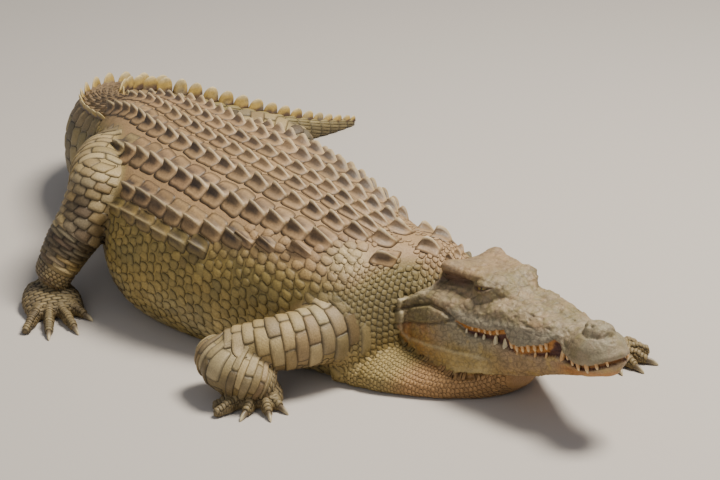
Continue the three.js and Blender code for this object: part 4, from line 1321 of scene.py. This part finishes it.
def crest_blade(u, spacing, out, height, seed):
    """A tall leaf-like scute that stands along the tail, its tip leaning back."""
    x, y, wide, top, level = row_at(BODY, u)[0][:5]
    ahead = row_at(BODY, u - spacing / 2)[0][:2] - row_at(BODY, u + spacing / 2)[0][:2]
    length = float(np.hypot(*ahead))
    forward = np.array([*ahead / length, 0])
    aside = np.array([-forward[1], forward[0], 0])
    up = unit(np.array([0, 0, 1]) + aside * out * 0.5)
    root = np.array([x, y, top - 10 - out ** 2 * 0.45 * (top - level)]) + aside * out * wide
    levels, sides = 11, 20
    rise = np.linspace(0, 1, levels) ** 0.85
    angle = circle(sides)
    rings = []
    for r in rise:
        reach = length * 0.53 * np.sqrt(max(0.02, 1 - r ** 2.6))
        thick = (4 + 0.15 * height) * (1 - r) ** 0.9 + 1.2
        centre = root + up * (height + 9) * r - forward * length * 0.16 * r ** 1.5
        ripple = 1 + 0.16 * np.sin(3 * angle + seed) * (1 - r)
        rings.append(centre + forward * (np.cos(angle) * reach)[:, None]
                     + aside * (np.sin(angle) * thick * ripple)[:, None])
    points, faces = tube(np.array(rings))
    tint = along_tube(rise, sides)
    grain = noise(points, 11, seed)
    colour = layered(
        blend(BROWN, DARK, 0.5),
        (OCHRE, smooth(0.15, 0.55, tint + 0.2 * grain)),
        (BLUE, 0.35 * smooth(0.0, 0.6, rough(points, 30, seed))),
        (PALE, 0.55 * smooth(0.6, 1.0, tint)))
    colour = colour * (1 + 0.22 * grain[:, None])
    across = np.append(np.tile(np.cos(angle), levels), [0, 0])
    uv = np.array([MAP_EDGE + MAP_SPAN * (u - 8) / 11, 0.5 + 0.2 * out])
    uv = uv + MAP_SCALE * np.stack([across, 2 * tint - 1], 1)
    return points, faces, colour, uv


for i, u in enumerate(CREST_US[:-1]):
    spacing = CREST_US[i + 1] - u
    hips, merge, tip = CREST["heights"]
    if u < CREST["merge"]:
        height = hips + (merge - hips) * (u - CREST["start"]) / (CREST["merge"] - CREST["start"])
        for side in (-1, 1):
            crest.add_mesh(*crest_blade(u, spacing, side * crest_out(u), height, i))
    else:
        along = (u - CREST["merge"]) / (CREST["end"] - CREST["merge"])
        crest.add_mesh(*crest_blade(u, spacing, 0, merge + (tip - merge) * along, i))
crest.make()

# ---- Limbs -------------------------------------------------------------------------------------------
PLATED = slab(6, 14, 6)


def limb_tone(shade, points, draw):
    shade = blend(shade, PALE, 0.22 * draw.uniform(0, 1, len(points)) ** 2)
    return blend(shade, BROWN, 0.40 * draw.uniform(0, 1, len(points)) ** 2)


def armour(coat, sheath, s0, s1, tall, wide, inner, seed, avoid, height=4.2):
    """Rings of overlapping plates over the outer side of a limb, and small scales on its inner side."""
    girth = float(np.mean(sheath.girth))
    coat.cover(sheath, s0, s1, tall, -girth * inner, girth * inner, wide, height, (1.16, 1.02), net=PLATED,
               tilt=2.4, tone=limb_tone, seed=seed, square=6, limit=12, avoid=avoid, jitter=0.02)
    for side in (-1, 1):
        coat.cover(sheath, s0, s1, 13, girth * inner, girth * 0.5, 14, 2.6, (1.05, 1.05), side, **SMALL,
                   seed=seed + 2 + side, limit=12, avoid=avoid, jitter=0.08)


legs = Coat("limb_scales", HIDE, "limb_skin")
for i, limb in enumerate(LIMBS):
    upper = Sheath(limb_rings(limb["upper"], np.linspace(0, 3, 60), 128))
    lower = Sheath(shin_rings(limb["lower"], 128))
    hind = i > 1
    seed = 200 + 20 * i
    end = upper.s[-1]

    def in_lower(points, rows=limb["lower"]):
        return beside(points, rows) < 0.93

    def in_upper(points, rows=limb["upper"]):
        return beside(points, rows) < 0.90

    armour(legs, upper, 0.12 * end, end * 0.99, 31 if hind else 25, 84 if hind else 88, 0.36, seed,
           lambda p: in_lower(p) | on_head(p))
    start, stop = 0.05 * lower.s[-1], lower.s[-1] * (0.82 if hind else 0.88)
    middle = start + (stop - start) * 0.62
    armour(legs, lower, start, middle, 24 if hind else 19, 44 if hind else 92, 0.38, seed + 5, in_upper, 3.6)
    armour(legs, lower, middle + 8, stop, 11, 84, 0.38, seed + 10, in_upper, 3.2)
    span = 0.5 * float(np.mean(lower.girth))
    legs.cover(lower, stop + 10, lower.s[-1] * 0.97, 9, -span, span, 15, 2.4, (1.1, 1.05), **SMALL,
               tone=limb_tone, limit=14, avoid=in_upper, jitter=0.06, seed=seed + 15)
legs.make()

# ---- Feet and claws ----------------------------------------------------------------------------------
feet = Coat("foot_scales", HIDE, "limb_skin")
TOE_PLATE = {"jitter": 0.03, "sink": 2, "square": 4, "tilt": 0.8}
for i, limb in enumerate(LIMBS):
    for k, (turn, length, _) in enumerate(limb["toes"]):
        toe = Sheath(level_rings(limb["palm"], toe_heading(limb, turn), toe_rows(length), 48))
        end = toe.s[-1] - 2
        feet.cover(toe, 3, end, 8.5, -15, 15, 30, 2.8, (1.12, 1), stagger=0, net=slab(5, 8, 4),
                   seed=300 + 9 * i + k, limit=9, **TOE_PLATE)
        for side in (-1, 1):
            feet.cover(toe, 3, end, 6.5, 15, 24, 7, 1.6, (1.05, 1.05), side, net=disc(6, (0.6,)),
                       seed=350 + 9 * i + k, limit=9, jitter=0.08, sink=2)
    palm = Sheath(level_rings(limb["palm"], limb["heading"], palm_rows(limb, 40), 96))
    span = 0.30 * float(palm.girth.max())
    feet.cover(palm, 0, palm.s[-1], 10, -span, span, 26, 2.6, (1.12, 1.02), net=slab(4, 8, 4),
               seed=400 + i, limit=14, **{**TOE_PLATE, "jitter": 0.04})
feet.make()

# A claw's rows: [millimetres past the toe's end, half width, top, bottom].
CLAW = [[-6, 6.4, 17.0, 1.0], [0, 6.4, 17.2, 0.8], [9, 5.4, 15.6, 0.6], [17, 3.9, 12.0, 0.6],
        [23, 2.2, 7.6, 0.6], [26, 0.7, 3.6, 0.6]]
CLAW_STEPS, CLAW_SIDES = 26, 20


def claw_mesh(limb, turn, length):
    rows = row_at(CLAW, np.linspace(0, len(CLAW) - 1, CLAW_STEPS))
    rows[:, 0] += length
    return tube(level_rings(limb["palm"], toe_heading(limb, turn), rows, CLAW_SIDES))


claw_nodes, claw_parts = [], []
for limb in LIMBS:
    clawed = [toe for toe in limb["toes"] if toe[2]]
    for k, (turn, length, _) in enumerate(clawed):
        claw_parts.append(claw_mesh(limb, turn, length))
        claw_nodes.append(f"claw_{limb['names'][2]}_{k + 1}")
claw_points, claw_faces = gather(claw_parts)
claws = new_object("claws", claw_points, claw_faces)
tip = np.tile(along_tube(np.linspace(0, 1, CLAW_STEPS), CLAW_SIDES), len(claw_parts))
claw_colour = blend(blend(GREY, DARK, 0.62), PALE, 0.75 * smooth(0.25, 0.9, tip))
paint(claws.data, claw_colour * (1 + 0.15 * noise(claw_points, 6, 70))[:, None])
claws.data.materials.append(CLAW_HORN)
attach(claws, "root")
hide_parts(*claw_nodes)


# ---- Eyes and teeth ----------------------------------------------------------------------------------
def eyeball(side):
    """An eyeball whose iris and upright slit of a pupil look outwards."""
    ball = sphere(64, 64, 0.02)[..., [1, 0, 2]] * (1, side, 1)
    gaze = unit(np.array([0.28, side * 1.0, 0.10]))
    centre = np.array(EYE_AT) * (1, side, 1)
    points, faces = tube(from_head(centre + ball * (EYE_RADIUS - 0.4) / HEAD_LENGTH))
    at = unit(to_head(points) - centre)
    ahead = at @ gaze
    aside = at @ unit(np.cross(gaze, [0, 0, 1]))
    iris = smooth(0.60, 0.66, ahead)
    streak = 0.5 + 0.5 * noise(at, 0.12, 77)
    colour = layered(DARK, (blend(IRIS, BROWN, 0.6 * streak), iris),
                     (DARK * 0.15, smooth(0.14, 0.08, np.abs(aside)) * iris))
    name = "eyeball_left" if side > 0 else "eyeball_right"
    obj = new_object(name, points, faces[:, ::-1])
    paint(obj.data, colour)
    obj.data.materials.append(EYE_GLOSS)
    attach(obj, "root")
    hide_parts("eye_left" if side > 0 else "eye_right")


for side in (-1, 1):
    eyeball(side)

# Teeth that show: [place along the head, length in mm, radius, leaning forwards].
UPPER_TEETH = [
    [0.265, 7, 2.6, 0], [0.30, 8, 3.0, 0], [0.335, 9, 3.2, 0], [0.365, 10, 3.2, 0], [0.405, 12, 3.8, 0],
    [0.485, 15, 4.6, 0], [0.518, 14, 4.2, 0], [0.550, 14, 4.0, 0], [0.582, 14, 4.2, 0], [0.614, 14, 4.4, 0],
    [0.646, 15, 4.4, 0], [0.676, 13, 4.0, 0], [0.775, 9, 3.2, 0], [0.812, 11, 3.6, 0], [0.852, 14, 4.4, 0.1],
    [0.900, 17, 5.0, 0.1], [0.942, 12, 3.8, 0.2], [0.975, 9, 3.0, 0.3],
]
LOWER_TEETH = [
    [0.235, 8, 3.0, 0], [0.285, 8, 3.2, 0], [0.325, 9, 3.4, 0], [0.385, 16, 5.6, 0], [0.432, 24, 7.0, 0.1],
    [0.505, 9, 3.2, 0], [0.598, 10, 3.4, 0], [0.660, 9, 3.2, 0], [0.738, 26, 5.6, 0.15],
]
TOOTH_SIDES = 12
TOOTH_STEPS = np.linspace(-0.3, 1, 12)      # from inside the gum to the point


def tooth(x, side, length, radius, lean, upper):
    """A conical tooth in a jaw, bent inwards a little towards its point."""
    z = float(line_at(LIP if upper else SILL, x))
    way = -1 if upper else 1
    start = np.array([x, side * 0.6, z - way * 0.004])
    origin = from_head(start)
    hit = TREE.ray_cast(Vector(to_metres(origin)), Vector(HEAD_TURN @ np.array([0, -side, 0])))
    if hit[0] is None:
        return None
    foot = to_head(to_mm(hit[0]))
    rings = []
    angle = circle(TOOTH_SIDES)
    for r in TOOTH_STEPS:
        wide = radius * np.sqrt(max(0.0, 1 - max(r, 0) ** 1.7)) + 0.3
        centre = np.array([x + (lean * length * r) / HEAD_LENGTH,
                           foot[1] - side * (1.0 + 0.6 * radius + 0.10 * length * max(r, 0)) / HEAD_LENGTH,
                           z + way * length * r / HEAD_LENGTH])
        rings.append(from_head(centre + np.stack([np.cos(angle), np.sin(angle), 0 * angle], 1)
                               * wide / HEAD_LENGTH))
    rings = np.array(rings)
    points, faces = tube(rings if way > 0 else rings[:, ::-1])
    return points, faces


tooth_parts, tooth_shades = [], []
along = along_tube(TOOTH_STEPS, TOOTH_SIDES)
for rows, upper in ((UPPER_TEETH, True), (LOWER_TEETH, False)):
    for x, length, radius, lean in rows:
        base = GUM if upper or x > 0.45 else blend(BLUE, PALE, 0.3)
        for side in (-1, 1):
            made = tooth(x, side, length, radius, lean, upper)
            if made is not None:
                tooth_parts.append(made)
                tooth_shades.append(blend(base, PALE, 0.25 + 0.55 * smooth(0.1, 1.0, along)))
tooth_points, tooth_faces = gather(tooth_parts)
teeth = new_object("teeth", tooth_points, tooth_faces)
paint(teeth.data, np.vstack(tooth_shades))
teeth.data.materials.append(ENAMEL)
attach(teeth, "root")

# ---- Floor, light and camera -------------------------------------------------------------------------
FLOOR_REACH = 30
FLOOR_COLOUR = (0.50, 0.46, 0.42, 1)
SKY_COLOUR, SKY_STRENGTH = (0.85, 0.9, 1.0, 1), 0.30
LENS, SENSOR = 99.65, 36

floor_mesh = bpy.data.meshes.new("floor")
corners = [(x * FLOOR_REACH, y * FLOOR_REACH, 0) for x, y in ((-1, -1), (1, -1), (1, 1), (-1, 1))]
floor_mesh.from_pydata(corners, [], [(0, 1, 2, 3)])
floor = placed("floor", floor_mesh)
floor_material = bpy.data.materials.new("floor")
floor_material.use_nodes = True
floor_shader = floor_material.node_tree.nodes["Principled BSDF"]
floor_shader.inputs["Base Color"].default_value = FLOOR_COLOUR
floor_shader.inputs["Roughness"].default_value = 0.9
floor_mesh.materials.append(floor_material)

world = bpy.data.worlds.new("world")
bpy.context.scene.world = world
world.use_nodes = True
sky = world.node_tree.nodes["Background"]
sky.inputs["Color"].default_value = SKY_COLOUR
sky.inputs["Strength"].default_value = SKY_STRENGTH


def add_light(name, place, target, size, power, colour):
    data = bpy.data.lights.new(name, 'AREA')
    data.size = size
    data.energy = power
    data.color = colour
    obj = placed(name, data)
    obj.location = place
    obj.rotation_euler = (Vector(target) - Vector(place)).to_track_quat('-Z', 'Y').to_euler()


add_light("key", (1.4, 1.6, 5.4), (0, -0.1, 0.1), 1.8, 640, (1.0, 0.94, 0.83))
add_light("fill", (2.5, -5.0, 3.0), (0, 0, 0.1), 4.0, 55, (1.0, 0.95, 0.9))

CAMERA_AT = Vector((3214, -2906, 2007))       # from between the shoulders, in millimetres
CAMERA_FORWARD = Vector((-0.699, 0.612, -0.371))
camera_data = bpy.data.cameras.new("camera")
camera_data.lens = LENS
camera_data.sensor_width = SENSOR
camera = placed("camera", camera_data)
camera.location = (CAMERA_AT - Vector(ORIGIN)) * MM
camera.rotation_euler = CAMERA_FORWARD.to_track_quat('-Z', 'Y').to_euler()
bpy.context.scene.camera = camera
